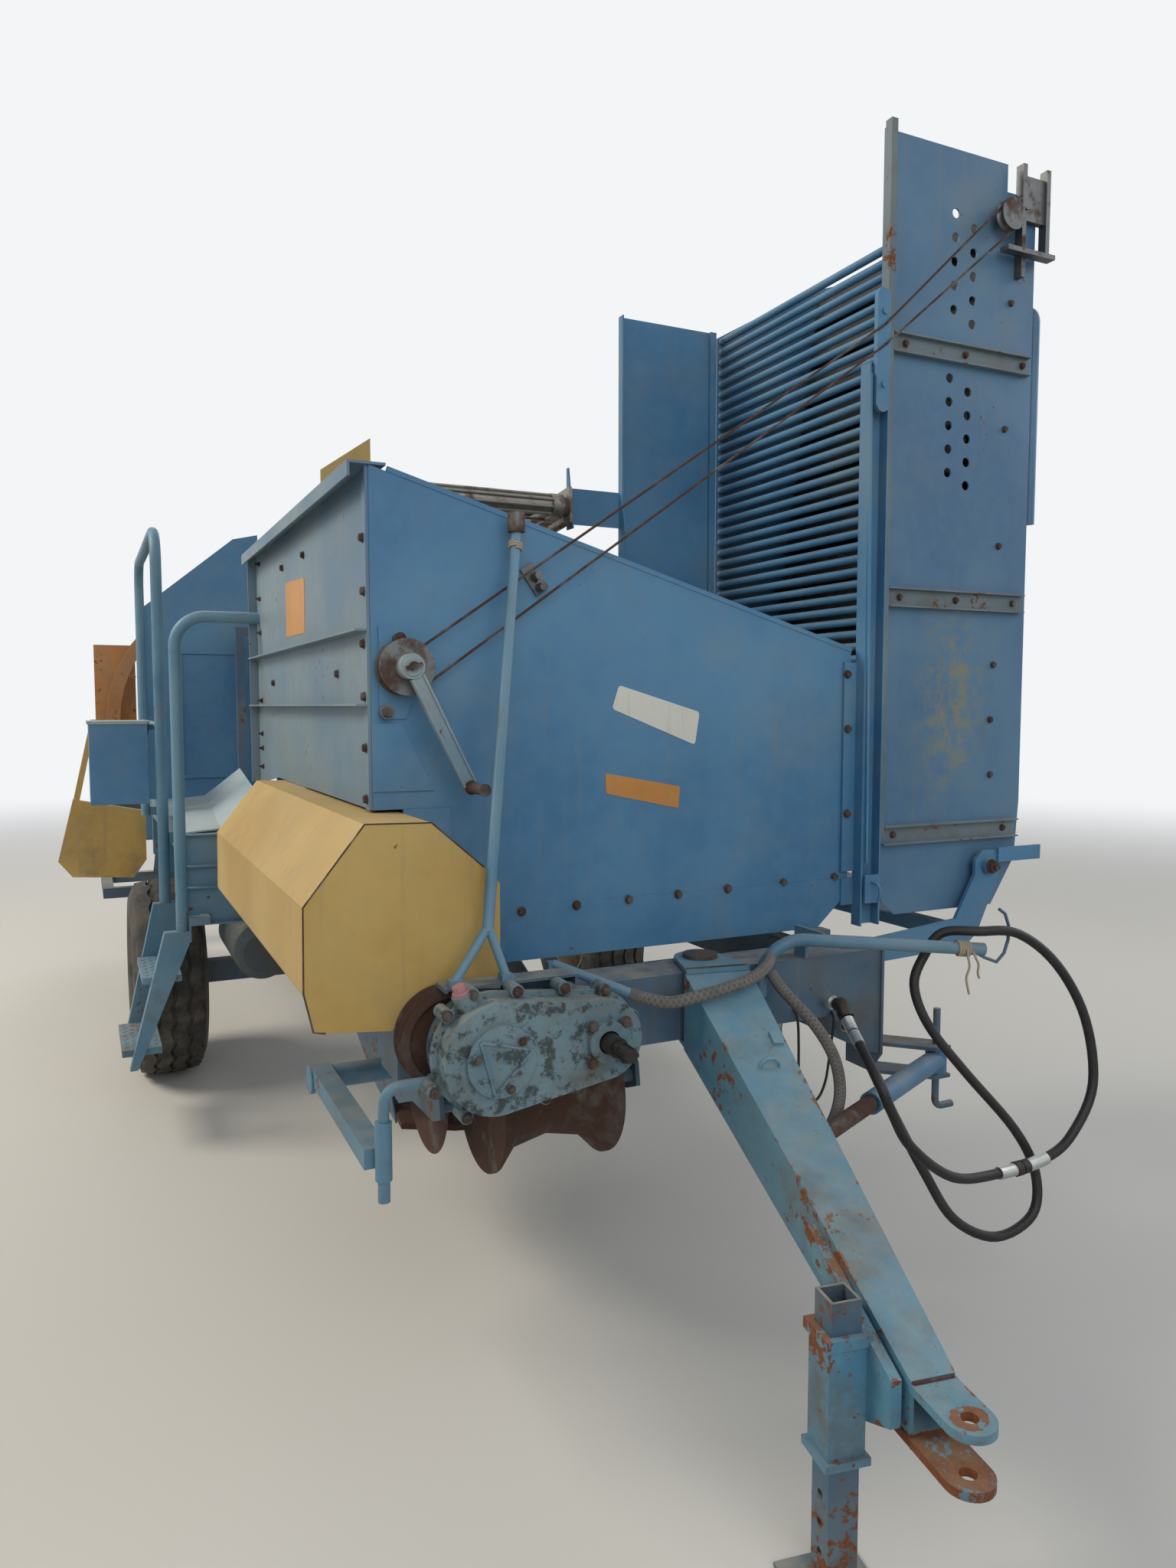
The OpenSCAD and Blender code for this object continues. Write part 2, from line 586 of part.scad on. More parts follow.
box_x = -585;
pto_x = -340;
box_z = 872;
box_r = 118;
box_y = -2390;
box_d = 130;
lug_x = [-520, -300];
module gearbox() {
  y1 = box_y + box_d;
  color(blue) difference() {
    union() {
      xz(box_y, box_d) union() {
        translate([box_x, box_z]) circle(box_r);
        translate([pto_x, box_z + 8]) circle(88);
        polygon([[box_x + 8, box_z + box_r], [pto_x + 5, box_z + 96], [pto_x + 5, box_z - 80],
                 [box_x + 30, box_z - 114]]);
      }
      xz(box_y + 55, 14) union() {
        translate([box_x, box_z]) circle(box_r + 12);
        translate([pto_x, box_z + 8]) circle(98);
        polygon([[box_x, box_z + box_r + 12], [pto_x, box_z + 106], [pto_x, box_z - 90], [box_x, box_z - box_r - 12]]);
      }
      for (p = [[-100, 95], [-45, 133], [55, 128], [165, 122], [262, 106], [-128, -62], [-60, -125], [120, -112],
                [330, 40]])
        bar_y([box_x + p[0], box_y + 38, box_z + p[1]], 48, 30);
      bar_y([box_x, box_y - 14, box_z], 14, 150);
      for (k = [0:2]) translate([box_x, box_y - 20, box_z]) rotate([0, 120 * k + 15, 0])
        translate([-58, 0, 32]) cube([116, 6, 5]);
      for (k = [0:2]) translate([box_x, 0, box_z]) rotate([0, 120 * k + 45, 0])
        bar_y([0, box_y - 24, 58], 10, 18);
      translate([box_x - 48, box_y + 50, box_z + 92]) rotate([0, -22, 0]) cylinder(h = 46, d = 46);
      translate([pto_x, box_y - 18, box_z + 8]) rotate([-90, 0, 0]) cylinder(h = 18, d = 92);
      bar_x([-705, -2285, 812], 60, 32);
    }
    bar_y([pto_x, box_y - 19, box_z + 8], box_d + 20, 51);
  }
  color(rusty) {
    for (a = [45:90:315])
      bar_y([pto_x + 56 * cos(a), box_y - 14, box_z + 8 + 56 * sin(a)], 14, 24);
    for (x = lug_x) block([x, y1, 800], [x + 12, beam_y - 20.3, 900]);
  }
}
module pto_shaft() {
  color(dark) {
    bar_y([pto_x, box_y + 4, box_z + 8], box_d - 8, 50);
    bar_y([pto_x, box_y - 60, box_z + 8], 64, 44);
    bar_y([pto_x, box_y - 80, box_z + 8], 20, 34.9);
    difference() {
      bar_y([pto_x, box_y - 118, box_z + 8], 38, 34);
      for (k = [0:5]) translate([pto_x, 0, box_z + 8]) rotate([0, 60 * k, 0])
        block([-4, box_y - 119, 14.2], [4, box_y - 80, 20]);
    }
  }
}
module drive_pulley() {
  y1 = box_y + box_d;
  color(rusty) translate([box_x - 60, y1 + 5, box_z + 12]) rotate([-90, 0, 0]) rotate_extrude()
    polygon([[0, 0], [40, 0], [40, 20], [92, 20], [92, 0], [112, 0], [100, 14], [112, 28], [100, 42], [112, 56],
             [92, 56], [92, 32], [40, 32], [40, 60], [0, 60]]);
  color(rusty) bar_y([box_x - 60, y1 + 64, box_z + 12], beam_y - y1 - 64.5, 44);
}
module gear_bracket() {
  color(blue) {
    block([-672, -2300, 1003], [-366, -2236, 1009]);
    block([-672, -2300, 999], [-666, -2236, 1003]);
    yz(-372, 6) polygon([[-2236, 1003], [-2300, 1003], [-2300, 985], [-2256, 985], [-2236, 960]]);
    block([-525, -2242, 930], [-366, -2236, 1003]);
    for (x = [-525, -416]) block([x, -2236, beam_top], [x + 50, beam_y + 60, beam_top + 16]);
  }
}

// Guard over the drive along the right side
guard_rear = -710;
guard_front = -2193;
guard_shape = [[-942, 1185], [-811, 1352], [-665, 1349], [-545, 1244], [-562, 1069], [-600, 1062], [-664, 1048],
               [-700, 1018], [-748, 988], [-925, 920], [-944, 1004]];
guard_face = [[-942, 1185], [-811, 1352], [-665, 1349], [-545, 1244], [-508, 1206], [-508, 976], [-640, 963],
              [-690, 956], [-760, 902], [-900, 915], [-925, 920], [-944, 1004]];
guard_inner = [[-937, 1183], [-808, 1346], [-667, 1343], [-550, 1240], [-562, 1067], [-560, 900], [-980, 900],
               [-939, 1004]];
module front_guard() {
  color(ochre) {
    xz(guard_front, 4) polygon(guard_face);
    block([-512, guard_front + 4, 976], [-508, -1962, 1206]);
    difference() {
      xz(guard_front + 4, guard_rear - guard_front - 4) polygon(guard_shape);
      xz(guard_front + 3, guard_rear - guard_front) polygon(guard_inner);
      block([-560, beam_y - 5, 900], [-500, 0, 1100]);
    }
  }
  color(blue) for (y = [-1985, -900]) {
    block([-780, y, rail_top], [-740, y + 30, 1347]);
    block([-740, y, rail_top], [rail_right, y + 30, rail_top + 6]);
  }
}

module lever() {
  a = [-387, -2000, 2016];
  b = [-563, -2262, 1114];
  color(blue) {
    rod(a, b, 25);
    for (p = [[-4, -646], [4, -530]]) {
      rod(b + [p[0], 0, 4], [p[1], -2285, 1018], 20);
      block([p[1] - 14, -2299, 1009.3], [p[1] + 14, -2271, 1024]);
    }
  }
  color(rusty) translate(a) rotate([0, 0, 0]) cylinder(h = 46, d = 42);
}

// Drawbar, in its own frame: the pivot at the origin, the hitch along -Y

module in_bar() translate([pin_x, pin_y, 0]) rotate(bar_turn) children();
bar_end = -bar_len + 100;
module drawbar() {
  low = beam_z - 17;
  top = beam_top + 17;
  y0 = -beam_d / 2 - 42;
  color(blue) in_bar() {
    difference() {
      intersection() {
        yz(-100, 200) polygon([[y0, top - 11], [y0, low], [bar_end, tongue_z - 95], [bar_end, tongue_z + 6]]);
        xy(300, 700) polygon([[-88, y0], [88, y0], [44, bar_end], [-44, bar_end]]);
      }
      intersection() {
        yz(-100, 200) polygon([[y0 + 1, top - 19], [y0 + 1, low + 8], [bar_end - 1, tongue_z - 87],
                              [bar_end - 1, tongue_z - 2]]);
        xy(300, 700) polygon([[-80, y0 + 1], [80, y0 + 1], [36, bar_end - 1], [-36, bar_end - 1]]);
      }
    }
    // Fork plates over and under the beam
    difference() {
      union() {
        for (z = [beam_top + 5, beam_z - 17]) xy(z, 12) union() {
          polygon([[-86, y0 - 6], [86, y0 - 6], [62, 30], [-62, 30]]);
          translate([0, 10]) circle(64);
        }
      }
      translate([0, 0, beam_z - 20]) cylinder(h = beam_h + 50, d = pin_d + 0.6);
    }
    // Tongue plates with the hitch holes
    difference() {
      for (z = [tongue_z - 16, tongue_z - 111]) xy(z, 16) union() {
        translate([-44, -bar_len]) square([88, z < 400 ? 150 : 100]);
        translate([0, -bar_len]) circle(44);
      }
      translate([0, -bar_len, 300]) cylinder(h = 200, d = hitch_d);
    }
    // Gusset and sleeve of the parking leg
    sleeve_x = -112;
    difference() {
      union() {
        block([sleeve_x - 37, -963, 260], [sleeve_x + 37, -889, 500]);
        block([sleeve_x - 45, -971, 480], [sleeve_x + 45, -881, 500]);
        block([sleeve_x - 45, -971, 260], [sleeve_x + 45, -881, 275]);
        yz(sleeve_x + 37, 21) polygon([[-740, 545], [-740, 590], [-1040, 460], [-1040, 375], [-880, 300], [-880, 460]]);
      }
      block([sleeve_x - leg_w / 2 - 1, -926 - leg_w / 2 - 1, 200], [sleeve_x + leg_w / 2 + 1, -926 + leg_w / 2 + 1, 600]);
    }
    // Lug under the bar and the strut's eye
    yz(-30, 16) polygon([[-560, 560], [-500, 560], [-490, 640], [-570, 610]]);
    difference() {
      for (z = [577, 643]) block([50, -462, z], [131, -408, z + 10]);
      translate([106, -435, 500]) cylinder(h = 200, d = 20);
    }
    block([40, -462, 577], [58, -408, 653]);
    translate([106, -435, 572]) cylinder(h = 86, d = 20);
  }
}
module drawbar_pin() {
  color(blue) translate([pin_x, pin_y, 0]) {
    translate([0, 0, beam_z - 40]) cylinder(h = beam_h + 62, d = pin_d);
    translate([0, 0, beam_top + 17.3]) cylinder(h = 10, d = 92);
    translate([0, 0, beam_z - 40]) cylinder(h = 10, d = 70);
  }
}
module parking_leg() {
  color(blue) in_bar() translate([-112, -926, 0]) difference() {
    union() {
      block([-leg_w / 2, -leg_w / 2, 8], [leg_w / 2, leg_w / 2, 560]);
      block([-80, -80, 0], [80, 80, 8]);
    }
    for (k = [0:5]) bar_x([-50, 0, 80 + k * 55], 100, 18);
    block([-leg_w / 2 + 6, -leg_w / 2 + 6, 14], [leg_w / 2 - 6, leg_w / 2 - 6, 561]);
  }
}

// Telescopic strut that sets the drawbar's swing
strut_a = [788, -2200, 615];
strut_b = [pin_x, pin_y, 0] + [106 * cos(bar_turn) + 435 * sin(bar_turn), 106 * sin(bar_turn) - 435 * cos(bar_turn), 615];
strut_u = unit(strut_b - strut_a);
strut_len = norm(strut_b - strut_a);
module strut_sleeve() {
  color(blue) {
    difference() {
      union() {
        rod(strut_a, strut_a + strut_u * 430, 56);
        translate(strut_a - [0, 0, 34]) cylinder(h = 68, d = 58);
      }
      rod(strut_a + strut_u * 60, strut_a + strut_u * 440, 43);
      translate(strut_a - [0, 0, 40]) cylinder(h = 80, d = 20.6);
    }
  }
}
module strut_rod() {
  color(rusty) difference() {
    union() {
      rod(strut_a + strut_u * 230, strut_b - strut_u * 20, 42);
      translate(strut_b - [0, 0, 19.5]) cylinder(h = 39, d = 44);
    }
    translate(strut_b - [0, 0, 30]) cylinder(h = 60, d = 28);
  }
}
module strut_bracket() {
  x0 = end_x1 + 8;
  color(blue) {
    difference() {
      for (z = [570, 650]) xy(z, 10) polygon([[x0, beam_y + 10], [x0, beam_rear - 20], [strut_a[0] + 25, strut_a[1] + 25],
                                              [strut_a[0] + 25, strut_a[1] - 30], [strut_a[0] - 30, strut_a[1] - 30]]);
      translate([strut_a[0], strut_a[1], 500]) cylinder(h = 200, d = 20.6);
    }
    pipe([[strut_a[0], strut_a[1], 760], [strut_a[0], strut_a[1], 480], [strut_a[0] + 60, strut_a[1], 480]], 20, 24);
  }
}

// Digging unit

unit_y = -1850;
roller_z = 580;
coulter_y = -1600;
coulter_z = 565;
module depth_roller() {
  r = roller_d / 2;
  color(rusty) translate([row_x - 165, unit_y, roller_z]) rotate([0, 90, 0]) rotate_extrude($fn = 64)
    polygon([[0, 0], [r, 0], [r, 10], [r * 0.72, 60], [r * 0.6, 165], [r * 0.72, 270], [r, 320], [r, 330], [0, 330]]);
}
module coulter() {
  r = disc_d / 2;
  color(rusty) rotate([0, 90, 0]) rotate_extrude($fn = 64)
    polygon([[16, -10], [44, -10], [44, -3], [r - 20, -3], [r, 0], [r - 20, 3], [44, 3], [44, 10], [16, 10]]);
}
module coulter_right() translate([row_x - coulter_half, coulter_y, coulter_z]) coulter();
module coulter_left() translate([row_x + coulter_half, coulter_y, coulter_z]) coulter();

// Frame of the digging unit: a cross tube between the main rails, and two side plates that carry the tools
plate_in = web_w / 2 + 14.3;
tube_y = -1700;
module digger_frame() {
  color(blue) {
    block([rail_right + rail_w, tube_y, 775], [rail_left, tube_y + 60, 835]);
    for (x = [row_x - plate_in - 12, row_x + plate_in]) difference() {
      yz(x, 12) polygon([[-1890, 560], [-1880, 622], [-1715, 835], [-1625, 835], [-1500, 640], [-1300, 640],
                         [-1300, 500], [-1500, 470], [-1640, 525], [-1830, 535]]);
      for (y = [-1460, -1350]) bar_x([x - 1, y, 560], 14, 26);
    }
  }
  color(grey) {
    for (s = [-1, 1]) {
      bar_x([min(row_x + s * plate_in, row_x + s * 165.5), unit_y, roller_z], plate_in - 165.5, 36);
      bar_x([min(row_x + s * plate_in, row_x + s * (coulter_half - 12)), coulter_y, coulter_z],
            plate_in - coulter_half + 12, 31.6);
    }
  }
}
module share() {
  x0 = row_x - web_w / 2 - 8.7;
  w = web_w + 17.4;
  color(rusty) intersection() {
    yz(x0, w) polygon([[-1560, 371], [-1540, 384], [-1160, 446], [-1160, 434], [-1520, 368]]);
    xy(300, 200) polygon([[x0, -1465], [row_x - 20, -1560], [row_x + 20, -1560], [x0 + w, -1465], [x0 + w, -1160],
                          [x0, -1160]]);
  }
}
module side_arm() {
  x = -812;
  color(blue) {
    bar_x([x - 20, -1690, 645], 20 - x - 556.9, 60);
    slant([x, -1680, 658], [x, -2250, 652], 50, 44);
    translate([x + 12, -2268, 610]) cylinder(h = 125, d = 36);
    pipe([[x + 12, -2268, 735], [x + 12, -2285, 812], [-705.3, -2285, 812]], 24, 34);
  }
  color(rusty) {
    translate([x + 12, -2268, 563]) cylinder(h = 48, d = 26);
    bar_x([x - 30, -1690, 645], 12, 74);
  }
}

// Webs: two side belts and the rods that join them
module web(a, b, r, n) {
  x0 = row_x - web_w / 2;
  x1 = row_x + web_w / 2;
  v = b - a;
  u = v / norm(v);
  w = [-u[1], u[0]];
  color(dark) for (x = [x0, x1 - 45]) yz(x, 45) loop_band(a, b, r, 10);
  color(grey) {
    for (k = [0:n - 1], s = [1, -1])
      let (p = a + u * norm(v) * (k + 0.5) / n + w * s * (r - 5))
        bar_x([x0 + 1, p[0], p[1]], web_w - 2, rod_d, $fn = 8);
    for (p = [a, b]) bar_x([x0 - 8.7, p[0], p[1]], web_w + 17.4, 2 * r - 20.6);
  }
}
web1_a = [-1090, 510];
web1_b = [150, 1050];
web2_a = [330, 715];
web2_b = [2470, 660];
module first_web() web(web1_a, web1_b, 60, 30);
module second_web() web(web2_a, web2_b, 55, 46);
module web_sides() {
  color(blue) for (x = [row_x - web_w / 2 - 14, row_x + web_w / 2 + 9]) {
    yz(x, 5) polygon([[-1420, 380], [-1180, 426], [20, rail_top + 0.3], [80, rail_top + 0.3], [web1_b[0] + 90, 984],
                      [web1_b[0] + 90, web1_b[1] + 190], [-1150, 690], [-1300, 580]]);
    yz(x, 5) polygon([[web1_b[0] + 92, 645], [2459, 590], [2459, 783.7], [web1_b[0] + 92, 863.5]]);
  }
}

// Ring elevator
ring_x = -350;
ring_r = ring_d / 2;
module ring_elevator() {
  color(blue) translate([ring_x, 0, ring_z]) {
    for (y = [ring_y, ring_y + ring_w - 14]) xz(y, 14) difference() {
      circle(ring_r, $fn = 180);
      circle(ring_r - 70, $fn = 180);
    }
  }
  color(orange) translate([ring_x, 0, ring_z]) for (k = [0:ring_rods - 1]) rotate([0, 360 / ring_rods * k, 0])
    bar_y([ring_r - 18, ring_y + 14, 0], ring_w - 28, 16, $fn = 8);
  color(orange) translate([ring_x, 0, ring_z]) for (k = [0:ring_rods / 3 - 1])
    rotate([0, 1080 / ring_rods * k, 0])
      block([ring_r - 110, ring_y + 14, -4], [ring_r - 20, ring_y + ring_w - 14, 4]);
}
module ring_frame() {
  ya = 2470;
  yb = ring_y + ring_w + 25;
  x0 = ring_x - ring_r - 55;
  x1 = ring_x + ring_r + 55;
  roll_x = (ring_r + 50.5) * sin(35);
  roll_z = ring_z - (ring_r + 50.5) * cos(35);
  color(blue) {
    for (y = [ya, yb]) block([x0, y, 460], [x1, y + 60, 520]);
    for (x = [x0, x1 - 60]) {
      block([x, ya + 60, 460], [x + 60, yb, 520]);
      block([x, yb, 520], [x + 60, yb + 60, 1990]);
    }
    block([x0, yb, 1930], [x1, yb + 60, 1990]);
    for (x = [rail_right, rail_left - 40]) {
      block([x, ya - 10, 520], [x + rail_w, ya, rail_top]);
      block([x, ya, 520], [x + rail_w, ya + 60, rail_top]);
    }
    block([x0, yb + 60, 900], [x1, yb + 150, 1000]);
    // Brackets of the rollers that carry the ring
    for (s = [-1, 1]) for (y = [ya + 60, yb - 8])
      xz(y, 8) polygon([[ring_x + s * (roll_x + 70), 520], [ring_x + s * (roll_x - 70), 520],
                        [ring_x + s * (roll_x - 35), roll_z + 35], [ring_x + s * (roll_x + 35), roll_z + 35]]);
  }
  color(grey) for (s = [-1, 1]) bar_y([ring_x + s * roll_x, ya + 68, roll_z], yb - ya - 76, 100);
}
panel_y = 1400;
module ring_panel() {
  color(blue) xz(panel_y - 10, 10) difference() {
    polygon([[-877, 1233], [-534, 1233], [-534, 1886], [-877, 1886]]);
    polygon([[-859, 1251], [-552, 1251], [-552, 1868], [-859, 1868]]);
  }
  color(blue) difference() {
    xz(panel_y, sheet) polygon([[-1050, plat_z + 0.3], [-473, plat_z + 0.3], [-473, 2489], [-596, 2460], [-1050, 2083]]);
    xz(panel_y - 1, 3) polygon([[-859, 1251], [-552, 1251], [-552, 1868], [-859, 1868]]);
  }
}
module rear_guard() {
  mid = [-1230, 820];
  outline = [[-1472, 704], [-1385, 1061], [plat_x, 981], [plat_x, 691], [-1072, 586], [-1400, 610]];
  color(ochre) {
    difference() {
      xz(2405, 64.7) polygon(outline);
      xz(2409, 64.7) polygon([for (p = outline) mid + (p - mid) * 0.985]);
    }
  }
  color(ochre) xz(2405, 4) polygon([[-1385, 1050], [-1352, 1045], [-1248, 1524], [-1278, 1524]]);
  color(orange) block([-1240, 3059.7, 1100], [-1000, 3064.7, 1985]);
}

// Sorting table that runs from the ring to the bunker
table_a = [2900, 1910];
table_b = [-1130, 2262];
module sorting_table() {
  x0 = -460;
  x1 = 150;
  v = table_b - table_a;
  u = v / norm(v);
  w = [-u[1], u[0]];
  color(dark) for (x = [x0 + 30, x1 - 70]) yz(x, 40) loop_band(table_a, table_b, 40, 8);
  color(grey) {
    for (k = [0:43], s = [1, -1])
      let (p = table_a + u * norm(v) * (k + 0.5) / 44 + w * s * 34)
        bar_x([x0 + 31, p[0], p[1]], x1 - x0 - 62, 10, $fn = 8);
    for (e = [[table_a, -1], [table_b, 1]], t = [-64, -21, 21, 64])
      let (p = e[0] + (u * e[1] * cos(t) + w * sin(t)) * 34) bar_x([x0 + 31, p[0], p[1]], x1 - x0 - 62, 10, $fn = 8);
    for (p = [table_a, table_b]) bar_x([x0 + 12, p[0], p[1]], x1 - x0 - 24, 62);
  }
  color(blue) for (x = [x0 + 2, x1 - 12]) {
    yz(x, 10) polygon([table_a + w * 60, table_a - w * 60, table_b - w * 60 + u * 35, table_b + w * 60 + u * 35]);
  }
}

// Platform, rails and ladder on the right side
plat_z = 1130;
plat_x = -1000;
hoop_x = -1055;
module platform() {
  y0 = side_rear_y + 10;
  color(blue) {
    block([plat_x, y0, plat_z - 6], [-735, 2439.7, plat_z]);
    block([plat_x - 6, y0, plat_z - 106], [plat_x, 2439.7, plat_z]);
    block([plat_x - 6, y0 - 6, rail_z], [-735, y0, plat_z]);
    for (z = [plat_z - 5, 1008, 928, rail_z]) block([plat_x - 6, y0 - 34, z], [-735, y0 - 6, z + 5]);
    for (y = [100.3, 1000, 1700, 2370]) block([plat_x, y, rail_z + 20], [rail_right, y + 60, plat_z - 6]);
    for (y = [90, 1290]) block([hoop_x + 21.3, y, 1060], [plat_x - 6, y + 20, 1100]);
    // Plates that carry the ladder's stringers
    block([-1003.7, -324, 740], [-997, -280, 830]);
    block([-1003.7, -324, 800], [-930, -280, 830]);
    block([-960, -280, 795], [-930, y0 - 6, 830]);
    block([-1003.7, 90, 740], [-997, 124, 1030]);
  }
}
module handrails() {
  color(blue) {
    pipe([[right_x, -300, 1925], [-1026, -300, 1925], [-1026, -300, 782.3]], 42, 110);
    pipe([[hoop_x, 100, 822.3], [hoop_x, 100, 2290], [hoop_x, 1300, 2290], [hoop_x, 1300, 1060]], 42, 120);
    bar_y([hoop_x, 120, 1520], 1160, 34);
  }
}
module ladder() {
  color(blue) {
    xz(-324, 44) polygon([[-1088, 782], [-1004, 782], [-1004, 735], [-1152, 378], [-1190, 290], [-1216, 290]]);
    xz(80, 44) polygon([[-1100, 822], [-1020, 822], [-1004, 790], [-1004, 735], [-1150, 290], [-1218, 290]]);
    for (p = [[-1180, 330], [-1105, 590]])
      block([p[0] - 60, -280, p[1]], [p[0] + 75, 80, p[1] + 25]);
  }
}
box_x1 = hoop_x - 45;
module toolbox() {
  color(blue) {
    difference() {
      block([box_x1 - 210, 150, 1215], [box_x1, 500, 1530]);
      block([box_x1 - 205, 155, 1220], [box_x1 - 5, 495, 1531]);
    }
    block([box_x1, 280, 1505], [box_x1 + 27.7, 400, 1528]);
    for (y = [240.3, 379.7]) {
      block([box_x1, y, 1490], [box_x1 + 11, y + 30, 1534]);
      bar_y([box_x1 + 7, y, 1536.3], 30, 12);
    }
  }
}
module toolbox_lid() {
  color(blue) {
    block([box_x1 - 216, 144, 1530.3], [box_x1 - 1, 506, 1542.3]);
    for (y = [180, 410]) {
      block([box_x1 - 1, y, 1531.3], [box_x1 + 6, y + 60, 1541.3]);
      bar_y([box_x1 + 7, y, 1536.3], 60, 12);
    }
  }
}
module stone_chute() {
  edge = [[-998, 0], [-873, 10], [-735, 124], [-735, 130], [-876, 16], [-998, 6]];
  color(blue) {
    translate([0, side_rear_y + 10, plat_z + 0.3]) rotate([8.5, 0, 0]) xz(0, 550) polygon(edge);
    xz(270, 5) polygon([[-995, plat_z + 0.3], [-740, plat_z + 0.3], [-740, 1327], [-873, 1216], [-995, 1206]]);
  }
}

// Hose carrier and hoses
carrier_tip = [822, -2330, 951];
module hose_carrier() {
  color(blue) {
    pipe([[230, beam_y - 17, 850], [230, beam_y - 17, 1003], carrier_tip], 34, 110);
    block([214, beam_y - 14, 850], [246, beam_y, 900]);
    // Feed pipe from under the bunker, and the carrier's stay
    rod([-330, -2080, 978], [-170, -2180, 912], 24);
    block([-345, -2090, beam_top], [-325, -2070, 985]);
    block([386, beam_y + 0.3, beam_top], [396, beam_y + 50, 1010]);
    block([386, beam_y - 70, 995], [396, beam_y + 50, 1010]);
  }
}
module coupler() {
  color(grey) {
    bar_y([450, beam_y - 50, 810], 50, 30);
    bar_y([450, beam_y - 40, 810], 20, 38);
    bar_y([505, beam_y - 24, 735], 24, 32);
    translate([330, -2080, beam_z - 24]) cylinder(h = 24, d = 34);
  }
}
black_route = [[450, -2180.3, 810], [450, -2192, 810], [450, -2204, 810], [438, -2262, 762], [385, -2425, 690], [402, -2455, 620],
               [453, -2470, 527], [600, -2460, 419], [770, -2440, 385], [940, -2450, 400], [1040, -2450, 450],
               [1125, -2440, 570], [1110, -2420, 750], [1030, -2390, 900], [915, -2360, 990], [805, -2325, 1000],
               [740, -2262, 990], [700, -2240, 930], [665, -2240, 850], [690, -2270, 745], [775, -2320, 620],
               [900, -2380, 460], [950, -2410, 340], [920, -2430, 240], [800, -2420, 200], [680, -2390, 260],
               [620, -2340, 380], [562, -2270, 540], [520, -2218, 672], [505, -2184, 733], [505, -2169, 735], [505, -2154.3, 735]];
grey_route = [[-169.7, -2180.2, 911.9], [-160.4, -2186, 908], [-148.4, -2193.5, 903.1], [-90, -2232, 893],
              [-20, -2262, 909], [60, -2272, 924], [130, -2262, 937], [186, -2230, 948],
              [229.5, -2188.5, 955.2], [240.4, -2170.2, 951.5]];
loop_route = [[242.2, -2176, 916], [259, -2206, 875], [310, -2272, 796], [335, -2320, 720], [330, -2350, 640],
              [290, -2368, 575], [238, -2365, 535], [212, -2310, 528], [232, -2215, 560], [295, -2115, 640],
              [330, -2083, 703], [330, -2080, 733]];
module hose_black() color(dark) hose(black_route, 26, 3);
module hose_grey() color(grey) hose(grey_route, 30, 3);
module hose_loop() color(grey) hose(loop_route, 30, 3);

front_wall();
right_wall();
rear_wall();
bunker_floor();
guide_post();
front_beam();
main_frame();
axle();
tyre_right();
rim_right();
tyre_left();
rim_left();
air_tank();
elevator_casing();
elevator_tubes();
elevator_web();
elevator_head();
hinge_arms();
winch();
winch_rope();
tackle_rope();
gearbox();
pto_shaft();
drive_pulley();
gear_bracket();
front_guard();
lever();
drawbar();
drawbar_pin();
strut_sleeve();
strut_rod();
strut_bracket();
parking_leg();
digger_frame();
depth_roller();
coulter_right();
coulter_left();
share();
side_arm();
first_web();
second_web();
web_sides();
ring_elevator();
ring_frame();
ring_panel();
rear_guard();
sorting_table();
platform();
handrails();
ladder();
toolbox();
toolbox_lid();
stone_chute();
hose_carrier();
coupler();
hose_black();
hose_grey();
hose_loop();
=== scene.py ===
# %% [markdown]
# # A potato digger, dressed
# The CAD frame of a one-row trailed potato digger comes in first: every sheet, tube, wheel and rod has its
# true size there. This lesson gives the frame its finishes, which are sun-bleached enamel, rust, dusty rubber
# and braided hose, and then adds the small things: bolts, tread, wire ropes, ties and blank plates.
# The frame never moves and its meshes never change, so each new piece is placed by the frame's own sizes.

# %% The frame
import math

import bmesh
import bpy
from mathutils import Matrix, Vector
from mathutils.bvhtree import BVHTree


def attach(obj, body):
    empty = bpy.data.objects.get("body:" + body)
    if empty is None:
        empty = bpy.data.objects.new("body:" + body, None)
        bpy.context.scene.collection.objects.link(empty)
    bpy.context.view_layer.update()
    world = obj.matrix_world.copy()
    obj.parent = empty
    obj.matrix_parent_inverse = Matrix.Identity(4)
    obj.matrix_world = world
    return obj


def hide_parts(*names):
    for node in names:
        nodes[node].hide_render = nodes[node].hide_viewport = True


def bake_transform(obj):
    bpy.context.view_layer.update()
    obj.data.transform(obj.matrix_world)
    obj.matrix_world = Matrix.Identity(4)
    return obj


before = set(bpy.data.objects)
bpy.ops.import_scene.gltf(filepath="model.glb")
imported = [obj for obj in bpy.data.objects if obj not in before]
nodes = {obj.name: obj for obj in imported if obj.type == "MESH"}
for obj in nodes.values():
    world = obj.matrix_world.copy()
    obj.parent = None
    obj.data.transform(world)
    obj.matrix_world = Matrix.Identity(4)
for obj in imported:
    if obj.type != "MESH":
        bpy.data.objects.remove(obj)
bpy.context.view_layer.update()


def linked(name, data):
    """A new object of the scene with this data."""
    made = bpy.data.objects.new(name, data)
    bpy.context.scene.collection.objects.link(made)
    return made


# %% [markdown]
# ## The camera
# The photograph was taken with a phone held upright at head height, in front of the digger's right corner.
# The lens is wide, so the near drawbar looks large and the far platform small. Place, turn and lens were
# worked out from edges whose true sizes are known, and the camera is built straight from its three
# directions, because angles read off by eye wouldn't line up to the millimetre.

